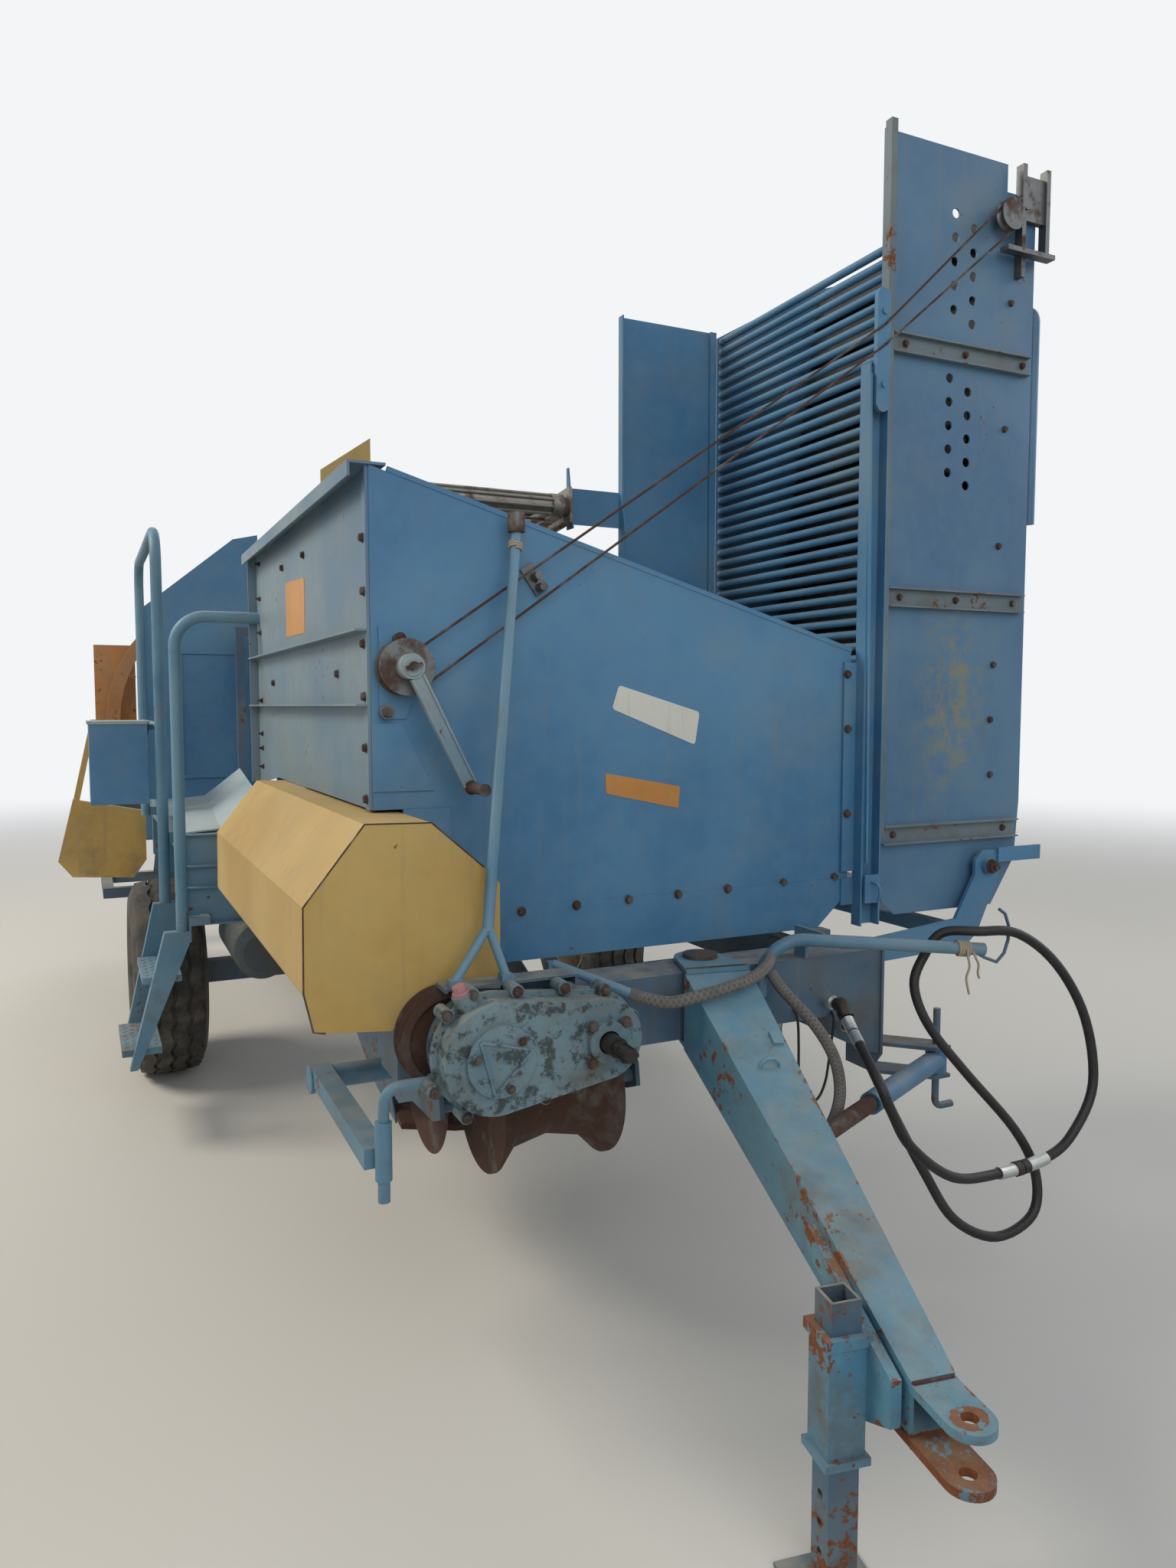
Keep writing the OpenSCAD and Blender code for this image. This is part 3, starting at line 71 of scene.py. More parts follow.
# %% Camera
RIGHT = Vector((0.90130, -0.43320, 0.0))
DOWN = Vector((-0.03155, -0.06565, -0.99734))
FORWARD = Vector((0.43205, 0.89890, -0.07284))
PLACE = (-1.350, -4.400, 1.600)
camera_data = bpy.data.cameras.new("camera")
camera_data.sensor_width, camera_data.lens = 36, 24.38
camera = linked("camera", camera_data)
turn = Matrix((RIGHT, -DOWN, -FORWARD)).transposed()
camera.matrix_world = Matrix.Translation(PLACE) @ turn.to_4x4()
bpy.context.scene.camera = camera
print("camera looks along", tuple(round(v, 3) for v in FORWARD))

# %% [markdown]
# ## Floor and light
# A plain pale floor and soft lamps let the worn paint speak for itself. On the day of the photograph the sun
# stood behind the machine's right side, so the largest lamp stands there too and a weaker one fills the front.
# The background's white comes from the world as the camera sees it, not from more light on the metal.

# %% Floor, world and lamps
def rgb(text):
    """Linear colour from an sRGB hex value."""
    parts = [int(text[i : i + 2], 16) / 255 for i in (1, 3, 5)]
    return tuple(v / 12.92 if v <= 0.04045 else ((v + 0.055) / 1.055) ** 2.4 for v in parts) + (1.0,)


def add(tree, kind, inputs=None, **settings):
    """One shader node with its settings; an input takes a value or the socket that feeds it."""
    made = tree.nodes.new("ShaderNode" + kind)
    for key, value in settings.items():
        setattr(made, key, value)
    for key, value in (inputs or {}).items():
        if isinstance(value, bpy.types.NodeSocket):
            tree.links.new(value, made.inputs[key])
        else:
            made.inputs[key].default_value = value
    return made


def calc(tree, operation, *values, kind="Math"):
    """The result of one sum of values or sockets; with kind="VectorMath", of vectors."""
    made = add(tree, kind, dict(enumerate(values)), operation=operation)
    return made.outputs["Value" if operation in ("LENGTH", "DISTANCE") else 0]


def new_material(name):
    """An empty material, its tree, and the object's coordinates in metres."""
    material = bpy.data.materials.new(name)
    material.use_nodes = True
    material.node_tree.nodes.clear()
    return material, material.node_tree, add(material.node_tree, "TexCoord").outputs["Object"]


def surfaced(material, colour, rough, bump, more=None):
    """The material with its one surface shader."""
    tree = material.node_tree
    made = add(tree, "BsdfPrincipled",
               {"Base Color": colour, "Roughness": rough, "Normal": bump.outputs[0], **(more or {})})
    add(tree, "OutputMaterial", {"Surface": made.outputs[0]})
    return material


def area_lamp(name, place, target, size, power, tint):
    """A round lamp that faces its target, size in metres and power in watts."""
    data = bpy.data.lights.new(name, "AREA")
    data.shape, data.size, data.energy = "DISK", size, power
    data.color = rgb(tint)[:3]
    lamp = linked(name, data)
    lamp.location = place
    lamp.rotation_euler = (Vector(target) - Vector(place)).to_track_quat("-Z", "Y").to_euler()


PAPER = "#f3f5f7"
bpy.context.scene.view_settings.view_transform = "Standard"
area_lamp("sun_side_lamp", (-6.5, 1.5, 7.0), (0, 0, 1.0), 4.0, 560, "#fff4e2")
area_lamp("front_lamp", (-1.5, -8.0, 4.5), (0, 0, 1.2), 6.0, 205, "#f6f8fc")
area_lamp("left_lamp", (7.0, -3.0, 5.0), (0, 0, 1.2), 5.0, 140, "#f6f8fc")
area_lamp("rear_lamp", (2.0, 9.0, 6.0), (0, 0, 1.2), 6.0, 220, "#ffffff")

world = bpy.data.worlds.new("studio")
bpy.context.scene.world = world
world.use_nodes = True
tree = world.node_tree
tree.nodes.clear()
path = add(tree, "LightPath").outputs
seen = calc(tree, "MAXIMUM", path["Is Camera Ray"], path["Is Glossy Ray"])
seen = calc(tree, "MAXIMUM", seen, path["Is Transmission Ray"])
dim = add(tree, "Background", {"Color": rgb("#e4e9ee"), "Strength": 0.42})
white = add(tree, "Background", {"Color": rgb(PAPER), "Strength": 1.0})
mixed = add(tree, "MixShader", {0: seen, 1: dim.outputs[0], 2: white.outputs[0]})
add(tree, "OutputWorld", {"Surface": mixed.outputs[0]})

material, tree, where = new_material("pale_studio_floor")
plain = add(tree, "BsdfPrincipled", {"Base Color": rgb("#c9c7c1"), "Roughness": 0.9})
# Far out, the floor fades into the background for the camera alone, so the horizon leaves no dark band
reach = calc(tree, "LENGTH", where, kind="VectorMath")
fade = add(tree, "MapRange", {0: reach, 1: 5.0, 2: 17.0}, interpolation_type="SMOOTHSTEP").outputs[0]
fade = calc(tree, "MULTIPLY", fade, add(tree, "LightPath").outputs["Is Camera Ray"])
paper = add(tree, "Emission", {"Color": rgb(PAPER), "Strength": 1.0})
both = add(tree, "MixShader", {0: fade, 1: plain.outputs[0], 2: paper.outputs[0]})
add(tree, "OutputMaterial", {"Surface": both.outputs[0]})
shape = bmesh.new()
bmesh.ops.create_grid(shape, x_segments=1, y_segments=1, size=60)
floor_mesh = bpy.data.meshes.new("floor")
shape.to_mesh(floor_mesh)
shape.free()
floor = linked("floor", floor_mesh)
floor.location.z = -0.001
floor_mesh.materials.append(material)
print("four lamps and a floor")

# %% [markdown]
# ## Weathered enamel
# The sheets are rolled steel, brushed and sprayed with alkyd enamel decades ago. Sun has chalked the enamel
# into paler clouds about half a metre across, rain has drawn faint streaks down the walls, grit has chipped
# it to specks of rust, and dust lies on whatever faces up. One function lays these four over each other, each
# with a pattern size in millimetres, so that the blue, the ochre and the orange coats age alike.

# %% Enamel with chalking, streaks, chips and dust
def per(mm):
    """Pattern scale, in repeats a metre, of a pattern that repeats every so many millimetres."""
    return 1000 / mm


def mix(tree, factor, a, b):
    """Colour a, with b over it by a factor."""
    return add(tree, "Mix", {0: factor, 6: a, 7: b}, data_type="RGBA").outputs[2]


def ramp(tree, value, low, high, to_low=0.0, to_high=1.0):
    """A smooth step of a value between two marks."""
    return add(tree, "MapRange", {0: value, 1: low, 2: high, 3: to_low, 4: to_high},
               interpolation_type="SMOOTHSTEP").outputs[0]


def times(tree, a, b):
    return calc(tree, "MULTIPLY", a, b)


def plus(tree, a, b):
    return calc(tree, "ADD", a, b)


def noise(tree, where, mm, detail=4.0, roughness=0.55):
    return add(tree, "TexNoise", {"Vector": where, "Scale": per(mm), "Detail": detail, "Roughness": roughness}
               ).outputs["Fac"]


def enamel(name, coat, faded, rust=0.5, dust=0.35, gloss=0.46, grime=0.14, worn=None, stain=None, oil=0.0):
    """The coat and its faded tone as sRGB hex values. `worn` and `stain` add rust and yellow growth where their
    own patterns are high, and `oil` is the strength of black spots."""
    material, tree, where = new_material(name)
    # Sun-chalked clouds, half a metre across, and finer mottling of 40 mm
    clouds = ramp(tree, noise(tree, where, 520, 5.0, 0.6), 0.36, 0.66)
    mottle = noise(tree, where, 42, 6.0, 0.62)
    colour = mix(tree, clouds, rgb(coat), rgb(faded))
    colour = mix(tree, ramp(tree, mottle, 0.35, 0.75, 0.0, 0.35), colour, rgb(faded))
    # Rain streaks: the pattern is 25 mm wide and drawn out downwards
    drawn = add(tree, "Mapping", {"Vector": where, "Scale": (1.0, 1.0, 0.045)}).outputs[0]
    streak = ramp(tree, noise(tree, drawn, 25, 3.0), 0.56, 0.74, 0.0, 0.30)
    colour = mix(tree, streak, colour, rgb("#6d7068"))
    # Grime settles in large soft patches and thickens towards the ground
    height = add(tree, "SeparateXYZ", {0: where}).outputs[2]
    low = ramp(tree, height, 1.15, 0.25)
    settled = times(tree, ramp(tree, noise(tree, where, 130, 5.0, 0.65), 0.42, 0.72),
                    calc(tree, "MULTIPLY_ADD", low, 0.55, grime))
    haze = times(tree, ramp(tree, noise(tree, where, 420, 4.0, 0.6), 0.50, 0.74), 0.20)
    colour = mix(tree, haze, colour, rgb("#8b8a6e"))
    if stain:
        colour = mix(tree, stain(tree, where), colour, rgb("#8a8049"))
    colour = mix(tree, settled, colour, rgb("#4f483d"))
    if oil:
        spots = times(tree, ramp(tree, noise(tree, where, 38, 8.0, 0.72), 0.50, 0.60), oil)
        colour = mix(tree, spots, colour, rgb("#211f1b"))
    # Chips down to rust, most of them where grit flies
    grit = ramp(tree, noise(tree, where, 210, 4.0, 0.6), 0.45, 0.75)
    chips = plus(tree, noise(tree, where, 26, 9.0, 0.68), times(tree, grit, 0.16 * rust))
    if worn:
        chips = plus(tree, chips, worn(tree, where))
    rusty = ramp(tree, plus(tree, chips, times(tree, low, 0.05 * rust)), 0.70, 0.735)
    brown = mix(tree, noise(tree, where, 9, 4.0), rgb("#3d241a"), rgb("#8a4f2a"))
    colour = mix(tree, rusty, colour, brown)
    # Dust on what faces up
    up = add(tree, "SeparateXYZ", {0: add(tree, "NewGeometry").outputs["Normal"]}).outputs[2]
    dusty = times(tree, ramp(tree, up, 0.55, 0.95),
                  ramp(tree, noise(tree, where, 60, 5.0, 0.6), 0.30, 0.70, 0.25 * dust, dust))
    colour = mix(tree, dusty, colour, rgb("#a79c86"))
    rough = plus(tree, times(tree, mottle, 0.25), gloss - 0.08)
    rough = add(tree, "Mix", {0: rusty, 2: rough, 3: 0.88}).outputs[0]
    rough = add(tree, "Mix", {0: dusty, 2: rough, 3: 0.95}).outputs[0]
    # Dents of a hand's width, and the skin of the paint at 4 mm, drawn coarser than it is so that it shows
    dents = add(tree, "Bump", {"Height": noise(tree, where, 260, 2.0), "Strength": 0.22, "Distance": 0.02})
    skin = add(tree, "Bump", {"Height": noise(tree, where, 4, 3.0), "Strength": 0.10, "Distance": 0.001,
                              "Normal": dents.outputs[0]})
    edge = add(tree, "Bump", {"Height": rusty, "Strength": 0.45, "Distance": 0.0012, "Normal": skin.outputs[0]},
               invert=True)
    return surfaced(material, colour, rough, edge, {"Specular IOR Level": 0.4})


PIVOT, SWING = (0.1, -2.06, 0.0), math.radians(9.4)  # the drawbar's pivot, and its turn from straight ahead


def bar_edges(tree, where):
    """High where chains and boots have rubbed the drawbar: its long edges, its hitch hole and its lower tongue."""
    moved = calc(tree, "SUBTRACT", where, PIVOT, kind="VectorMath")
    local = add(tree, "Mapping", {"Vector": moved, "Rotation": (0, 0, SWING)}).outputs[0]
    split = add(tree, "SeparateXYZ", {0: local}).outputs
    # The bar is 187 mm wide at its pivot and tapers by 94 mm a metre towards the hitch
    half = calc(tree, "MULTIPLY_ADD", split[1], 0.0469, 0.0933)
    near = ramp(tree, calc(tree, "DIVIDE", calc(tree, "ABSOLUTE", split[0]), half), 0.80, 0.99)
    edges = times(tree, times(tree, near, ramp(tree, noise(tree, where, 170, 5.0, 0.6), 0.44, 0.62)), 0.17)
    # A ring round the hitch hole, 1.15 m ahead of the pivot
    flat = calc(tree, "MULTIPLY", local, (1, 1, 0), kind="VectorMath")
    eye = calc(tree, "DISTANCE", flat, (0, -1.15, 0), kind="VectorMath")
    ring = times(tree, ramp(tree, times(tree, eye, -1.0), -0.038, -0.026), 0.30)
    # The tongue's lower plate, under 0.37 m
    level = add(tree, "SeparateXYZ", {0: where}).outputs[2]
    tongue = times(tree, ramp(tree, times(tree, level, -1.0), -0.372, -0.362),
                   ramp(tree, times(tree, split[1], -1.0), 0.985, 1.0))
    return plus(tree, plus(tree, edges, ring), times(tree, tongue, 0.22))


def growth(tree, where):
    """High in one ragged patch low on the elevator's front plate."""
    off = calc(tree, "SUBTRACT", where, (1.06, -1.95, 1.62), kind="VectorMath")
    squashed = calc(tree, "MULTIPLY", off, (1.7, 1.0, 0.8), kind="VectorMath")
    far = calc(tree, "LENGTH", squashed, kind="VectorMath")
    patch = ramp(tree, times(tree, far, -1.0), -0.34, -0.06)
    return times(tree, times(tree, patch, ramp(tree, noise(tree, where, 75, 6.0, 0.7), 0.42, 0.62)), 0.6)


def under_edges(tree, where):
    """High in patches a hand wide, where water stands on the frame's ledges."""
    return times(tree, ramp(tree, noise(tree, where, 150, 5.0, 0.62), 0.52, 0.70), 0.12)


blue_enamel = enamel("weathered_blue_enamel", "#3a6a8e", "#5280a0", rust=0.5)
casing_enamel = enamel("casing_blue_enamel", "#3e6484", "#547892", rust=0.7, grime=0.10, stain=growth)
# The right wall's coat is paler and greyer than the front's. This is painted sunlight on the side the sun stood on,
# over its real chalking
side_enamel = enamel("chalked_blue_enamel_painted_sunlight", "#527089", "#71858f", rust=0.9, dust=0.3, grime=0.20)
bar_enamel = enamel("rubbed_drawbar_enamel", "#467790", "#6594a6", rust=0.9, dust=0.25, grime=0.25, worn=bar_edges)
# The beam, the under frame and the inner parts take a darker coat. This is painted shade, with real dust, grime and
# rust over it
frame_enamel = enamel("dusty_frame_enamel_painted_shade", "#3b566c", "#536a7a", rust=1.0, dust=0.55, grime=0.45, worn=under_edges)
rail_enamel = enamel("handled_rail_enamel", "#446d85", "#65889a", rust=0.9, dust=0.3, grime=0.2)
brace_enamel = enamel("grimy_brace_enamel", "#51636d", "#6d7b80", rust=1.5, dust=0.4, grime=0.6, worn=under_edges)
dark_enamel = enamel("dark_tank_enamel", "#38434b", "#4c565b", rust=0.8, dust=0.5, grime=0.4)
cast_enamel = enamel("oily_cast_enamel", "#4a6c79", "#748b92", rust=0.9, dust=0.3, gloss=0.40, grime=0.55,
                     worn=under_edges, oil=0.8)
ochre_enamel = enamel("faded_ochre_enamel", "#a68645", "#b99d5e", rust=0.35, dust=0.25)
orange_enamel = enamel("worn_orange_enamel", "#9c6230", "#ab7a45", rust=1.1, grime=0.4)
rim_enamel = enamel("dirty_wheel_enamel", "#7d7e74", "#918e80", rust=1.2, dust=0.5, grime=0.5)
chute_enamel = enamel("bleached_chute_enamel", "#8aa5b3", "#a8bac1", rust=0.3, dust=0.3)
lid_enamel = enamel("bleached_lid_enamel", "#7d939f", "#9dabae", rust=0.3, dust=0.4)
blank_white = enamel("yellowed_plate_enamel", "#b9bcb4", "#d0cfc4", rust=0.2, dust=0.1)
blank_orange = enamel("peeled_orange_film", "#ab7434", "#c08b4c", rust=0.5, dust=0.1)
print("enamels made")

# %% [markdown]
# ## Bare, rusted and polished steel
# Discs, share, winch and shafts carry no paint. Hot-rolled or forged steel left in the weather grows a matt,
# grainy, brown skin; soil polishes the rods of the webs to a dull grey; zinc-plated fittings stay bright.
# Rust is a dielectric crust, so its metallic value is near zero, while the rubbed steel keeps a high one.

# %% Steels
def bare_steel(name, rubbed, crust, share, grain_mm=6.0, polish=0.42):
    """Steel whose rubbed and crusted parts each vary between two tones; share is about the crusted part."""
    material, tree, where = new_material(name)
    patches = noise(tree, where, 90, 7.0, 0.66)
    mask = ramp(tree, patches, 0.72 - 0.5 * share, 0.88 - 0.5 * share)
    fine = noise(tree, where, grain_mm, 5.0, 0.7)
    crust_colour = mix(tree, fine, rgb(crust[0]), rgb(crust[1]))
    steel_colour = mix(tree, noise(tree, where, 30, 4.0), rgb(rubbed[0]), rgb(rubbed[1]))
    colour = mix(tree, mask, steel_colour, crust_colour)
    rough = add(tree, "Mix", {0: mask, 2: polish, 3: 0.9}).outputs[0]
    rough = plus(tree, times(tree, fine, 0.12), rough)
    metal = ramp(tree, mask, 0.0, 1.0, 0.85, 0.05)
    bump = add(tree, "Bump", {"Height": fine, "Strength": 0.35, "Distance": 0.0012})
    return surfaced(material, colour, rough, bump, {"Metallic": metal})


disc_steel = bare_steel("rusted_disc_steel", ("#453e3a", "#665d56"), ("#2b1d18", "#573b2d"), 0.74)
bolt_steel = bare_steel("rusted_bolt_steel", ("#4c4a4a", "#6e6a66"), ("#2b211e", "#553a2c"), 0.7, grain_mm=3)
winch_steel = bare_steel("greasy_forged_steel", ("#54575a", "#757675"), ("#352a26", "#5d4538"), 0.45)
rod_steel = bare_steel("soil_polished_rod_steel", ("#75726c", "#9a958c"), ("#3f322b", "#6f5a49"), 0.5)
rope_steel = bare_steel("weathered_wire_rope", ("#4f4a48", "#77706a"), ("#33231e", "#5e4133"), 0.7, grain_mm=3)
zinc_steel = bare_steel("zinc_plated_fitting", ("#a9aca9", "#c4c6c2"), ("#6e6a62", "#8c867a"), 0.15, polish=0.3)
shaft_steel = bare_steel("oily_spline_steel", ("#2c2b2a", "#4a4744"), ("#2a1f1b", "#4c372b"), 0.4)
print("steels made")

# %% [markdown]
# ## Rubber, braid and plastics
# Tyre rubber greys as its oils come out and soil sticks to it; the hydraulic hoses are smooth black
# synthetic rubber; the two old brake hoses wear a grey textile braid that shows as fine slanting ribs. The
# braid follows the hose, so it reads the tube's own map instead of object coordinates.

# %% Rubbers
def rubber(name, dark, dusty, amount=0.4, grain_mm=12.0, gloss=0.6):
    """Rubber or plastic with dry soil on it, up to the amount."""
    material, tree, where = new_material(name)
    soil = ramp(tree, noise(tree, where, 70, 6.0, 0.65), 0.38, 0.72, 0.1 * amount, amount)
    colour = mix(tree, soil, rgb(dark), rgb(dusty))
    rough = add(tree, "Mix", {0: soil, 2: gloss, 3: 0.95}).outputs[0]
    grain = noise(tree, where, grain_mm, 5.0, 0.6)
    bump = add(tree, "Bump", {"Height": grain, "Strength": 0.25, "Distance": 0.001})
    return surfaced(material, colour, rough, bump, {"Specular IOR Level": 0.35})


def braided_hose(name, pale, dark, turns, length_mm, rib_mm):
    """Textile braid: two sets of slanting ribs, rib_mm apart along the hose and `turns` starts round it."""
    material, tree, where = new_material(name)
    split = add(tree, "SeparateXYZ", {0: add(tree, "TexCoord").outputs["UV"]}).outputs
    length = times(tree, split[0], length_mm / rib_mm)
    ribs = [calc(tree, "PINGPONG", plus(tree, length, times(tree, split[1], way * turns)), 1.0) for way in (1, -1)]
    weave = calc(tree, "MAXIMUM", *ribs)
    dirt = ramp(tree, noise(tree, where, 45, 5.0), 0.35, 0.75, 0.0, 0.6)
    colour = mix(tree, ramp(tree, weave, 0.2, 1.0), rgb(dark), rgb(pale))
    colour = mix(tree, dirt, colour, rgb("#4b4740"))
    bump = add(tree, "Bump", {"Height": weave, "Strength": 0.35, "Distance": 0.0006})
    return surfaced(material, colour, 0.85, bump)


tyre_rubber = rubber("dusty_tyre_rubber", "#232425", "#6b6559", amount=0.65)
web_rubber = rubber("dusty_web_rubber", "#1f1f20", "#5d564a", amount=0.5)
hose_rubber = rubber("black_hose_rubber", "#1a191b", "#4a4541", amount=0.25, grain_mm=5, gloss=0.48)
print("rubbers made")

# %% [markdown]
# ## Finishes on the frame
# Each of the frame's nodes takes its finish by name. A few need two or three, such as the winch with its painted
# back plate, greasy drum and rubbed crank. There a rule picks the finish of each face by where the face lies.

# %% Finishes on the frame's own nodes
finish_of = {
    blue_enamel: "front_wall rear_wall guide_post elevator_tubes hinge_arms strut_sleeve ring_panel toolbox",
    rail_enamel: "lever platform handrails ladder hose_carrier side_arm",
    casing_enamel: "elevator_casing",
    side_enamel: "right_wall",
    bar_enamel: "drawbar drawbar_pin",
    frame_enamel: "front_beam main_frame axle digger_frame web_sides strut_bracket ring_frame parking_leg "
                  "gear_bracket",
    dark_enamel: "air_tank",
    cast_enamel: "gearbox",
    ochre_enamel: "front_guard rear_guard",
    chute_enamel: "stone_chute",
    lid_enamel: "toolbox_lid",
    disc_steel: "depth_roller coulter_right coulter_left share drive_pulley strut_rod",
    winch_steel: "winch elevator_head",
    rod_steel: "bunker_floor first_web second_web sorting_table",
    rope_steel: "winch_rope tackle_rope",
    zinc_steel: "coupler",
    shaft_steel: "pto_shaft",
    tyre_rubber: "tyre_right tyre_left",
    web_rubber: "elevator_web",
    rim_enamel: "rim_right rim_left",
    orange_enamel: "ring_elevator",
}
for material, names in finish_of.items():
    for name in names.split():
        mesh = nodes[name].data
        mesh.materials.clear()
        mesh.materials.append(material)
        for face in mesh.polygons:
            face.material_index = 0


def refinish(node, finishes, rule):
    """Adds finishes to a node; the rule picks one by a face's centre in mm, and 0 or False keeps the first."""
    data, place = nodes[node].data, nodes[node].matrix_world
    for finish in finishes:
        data.materials.append(finish)
    for face in data.polygons:
        face.material_index = int(rule(place @ face.center * 1000))


HUB, GRIP = Vector((-659, -2042, 1691)), Vector((-520, -2042, 1410))  # the two ends of the winch's crank, in mm


def winch_faces(c):
    """The winch by depth: its painted back plate, its greasy drum, and in front its crank with the bare grip."""
    if c.y > -2008:
        return 3 if c.y > -1957.5 and c.x < -600 else 0
    return 2 if math.hypot(c.x - GRIP.x, c.z - GRIP.z) < 16 and c.y < -2050 else 1


crank_enamel = enamel("rubbed_crank_enamel", "#64808f", "#8c9b9f", rust=1.2, grime=0.3)
refinish("winch", [crank_enamel, bolt_steel, blue_enamel], winch_faces)
# The lever's knob and the pin's head are bare, the small sheet on the right wall is ochre, the flat braces of
# the elevator are grimy, and the tall sheet behind the rear guard is orange
refinish("lever", [bolt_steel], lambda c: c.z > 2014)
refinish("drawbar_pin", [bolt_steel], lambda c: c.z > 940)
refinish("right_wall", [ochre_enamel], lambda c: c.z > 2162 and -1392 < c.y < -1380)
refinish("elevator_casing", [brace_enamel], lambda c: c.y < -1948.6)
refinish("rear_guard", [orange_enamel], lambda c: c.y > 3000)
print("finishes on", sum(len(v.split()) for v in finish_of.values()), "nodes")

# %% [markdown]
# ## Hoses
# A long black hydraulic hose leaves the coupling on the beam, runs over the strut, swings up over the carrier
# in one wide arc, and comes back in a lower loop to its second fitting. Two short grey brake hoses hang
# beside it. Each is a tube swept along a smooth curve through a few given points, in millimetres, the
# same points that the frame's plain tubes follow.

# %% Hose routes
black_route = [(450, -2180.3, 810), (450, -2192, 810), (450, -2204, 810), (438, -2262, 762), (385, -2425, 690),
               (402, -2455, 620), (453, -2470, 527), (600, -2460, 419), (770, -2440, 385), (940, -2450, 400),
               (1040, -2450, 450), (1125, -2440, 570), (1110, -2420, 750), (1030, -2390, 900), (915, -2360, 990),
               (805, -2325, 1000), (740, -2262, 990), (700, -2240, 930), (665, -2240, 850), (690, -2270, 745),
               (775, -2320, 620), (900, -2380, 460), (950, -2410, 340), (920, -2430, 240), (800, -2420, 200),
               (680, -2390, 260), (620, -2340, 380), (562, -2270, 540), (520, -2218, 672), (505, -2184, 733),
               (505, -2169, 735), (505, -2154.3, 735)]
grey_route = [(-169.7, -2180.2, 911.9), (-160.4, -2186, 908), (-148.4, -2193.5, 903.1), (-90, -2232, 893),
              (-20, -2262, 909), (60, -2272, 924), (130, -2262, 937), (186, -2230, 948), (229.5, -2188.5, 955.2),
              (240.4, -2170.2, 951.5)]
loop_route = [(242.2, -2176, 916), (259, -2206, 875), (310, -2272, 796), (335, -2320, 720), (330, -2350, 640),
              (290, -2368, 575), (238, -2365, 535), (212, -2310, 528), (232, -2215, 560), (295, -2115, 640),
              (330, -2083, 703), (330, -2080, 733)]


def smooth(route, steps):
    """Points, in metres, of a smooth curve through the route's points."""
    p = [Vector(q) / 1000 for q in route]
    points = []
    for i in range(len(p) - 1):
        a, b, c, d = p[max(i - 1, 0)], p[i], p[i + 1], p[min(i + 2, len(p) - 1)]
        for k in range(steps):
            t = k / steps
            points.append(0.5 * (2 * b + (c - a) * t + (2 * a - 5 * b + 4 * c - d) * t * t
                                 + (3 * b - a - 3 * c + d) * t ** 3))
    return points + [p[-1]]


def run_of(points):
    """The length of a line of points."""
    return sum((b - a).length for a, b in zip(points, points[1:]))


def hose_tube(name, points, diameter, material):
    """A swept tube with its own map: along the hose in U, round it in V."""
    curve = bpy.data.curves.new(name + "_line", "CURVE")
    curve.dimensions = "3D"
    line = curve.splines.new("POLY")
    line.points.add(len(points) - 1)
    for point, at in zip(line.points, points):
        point.co = (*at, 1.0)
    curve.bevel_depth = diameter / 2
    curve.bevel_resolution = 4
    curve.use_fill_caps = True
    swept = linked(name + "_line", curve)
    bpy.context.view_layer.update()
    mesh = bpy.data.meshes.new_from_object(swept.evaluated_get(bpy.context.evaluated_depsgraph_get()))
    bpy.data.objects.remove(swept)
    mesh.name = name
    mesh.materials.clear()
    mesh.materials.append(material)
    for face in mesh.polygons:
        face.use_smooth = True
    tube = linked(name, mesh)
    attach(tube, "frame")
    return tube


hose_table = [  # name, route, diameter, the braid's rib in mm, the frame's node, slot
    ("black_hose_tube", black_route, 0.026, None, "hose_black", "black_hose"),
    ("grey_hose_tube", grey_route, 0.030, 5, "hose_grey", "grey_hose"),
    ("grey_loop_tube", loop_route, 0.030, 5, "hose_loop", "grey_hose"),
]
hose_runs = []
for name, route, diameter, rib, node, slot in hose_table:
    points = smooth(route, 6)
    run = run_of(points)
    finish = hose_rubber
    if rib:
        finish = braided_hose(name + "_braid", "#6f6c68", "#55524e", 8, run * 1000, rib)
    tube = hose_tube(name, points, diameter, finish)
    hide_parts(node)
    hose_runs.append((tube, points, run, diameter))
    print(name, "runs", round(run, 3), "m")

# %% [markdown]
# ## Small tools
# Bolts, plates and wires are built in millimetres, straight into one mesh for each finish and body. A bolt has
# to stand exactly on its sheet, so its place isn't trusted to the last millimetre: a ray is shot at the frame's
# node and the head is set where it lands.

# %% Tools for small parts
surfaces = {}


def keep(name, shape, finish, body, sharp=None):
    """A finished piece from a bmesh, riding on its body; with an angle, smooth but for edges sharper than it."""
    mesh = bpy.data.meshes.new(name)
    shape.to_mesh(mesh)
    shape.free()
    mesh.materials.append(finish)
    piece = linked(name, mesh)
    if body:
        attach(piece, body)
    if sharp:
        for face in mesh.polygons:
            face.use_smooth = True
        mesh.set_sharp_from_angle(angle=math.radians(sharp))
    return piece


def seat(names, place, axis):
    """Where a line through a place in mm, along an axis, first meets one of the frame's nodes from outside."""
    out = Vector(axis).normalized()
    start = Vector(place) / 1000 + out * 0.3
    hits = []
    for name in names.split():
        if name not in surfaces:
            node = nodes[name]
            points = [node.matrix_world @ v.co for v in node.data.vertices]
            surfaces[name] = BVHTree.FromPolygons(points, [f.vertices[:] for f in node.data.polygons])
        point, _, _, far = surfaces[name].ray_cast(start, -out, 0.55)
        if point is not None:
            hits.append((far, point))
    return min(hits)[1] * 1000


def facing(place, axis):
    """A matrix that stands a shape's +Z along an axis at a place in mm."""
    return Matrix.Translation(Vector(place) / 1000) @ Vector(axis).to_track_quat("Z", "Y").to_matrix().to_4x4()


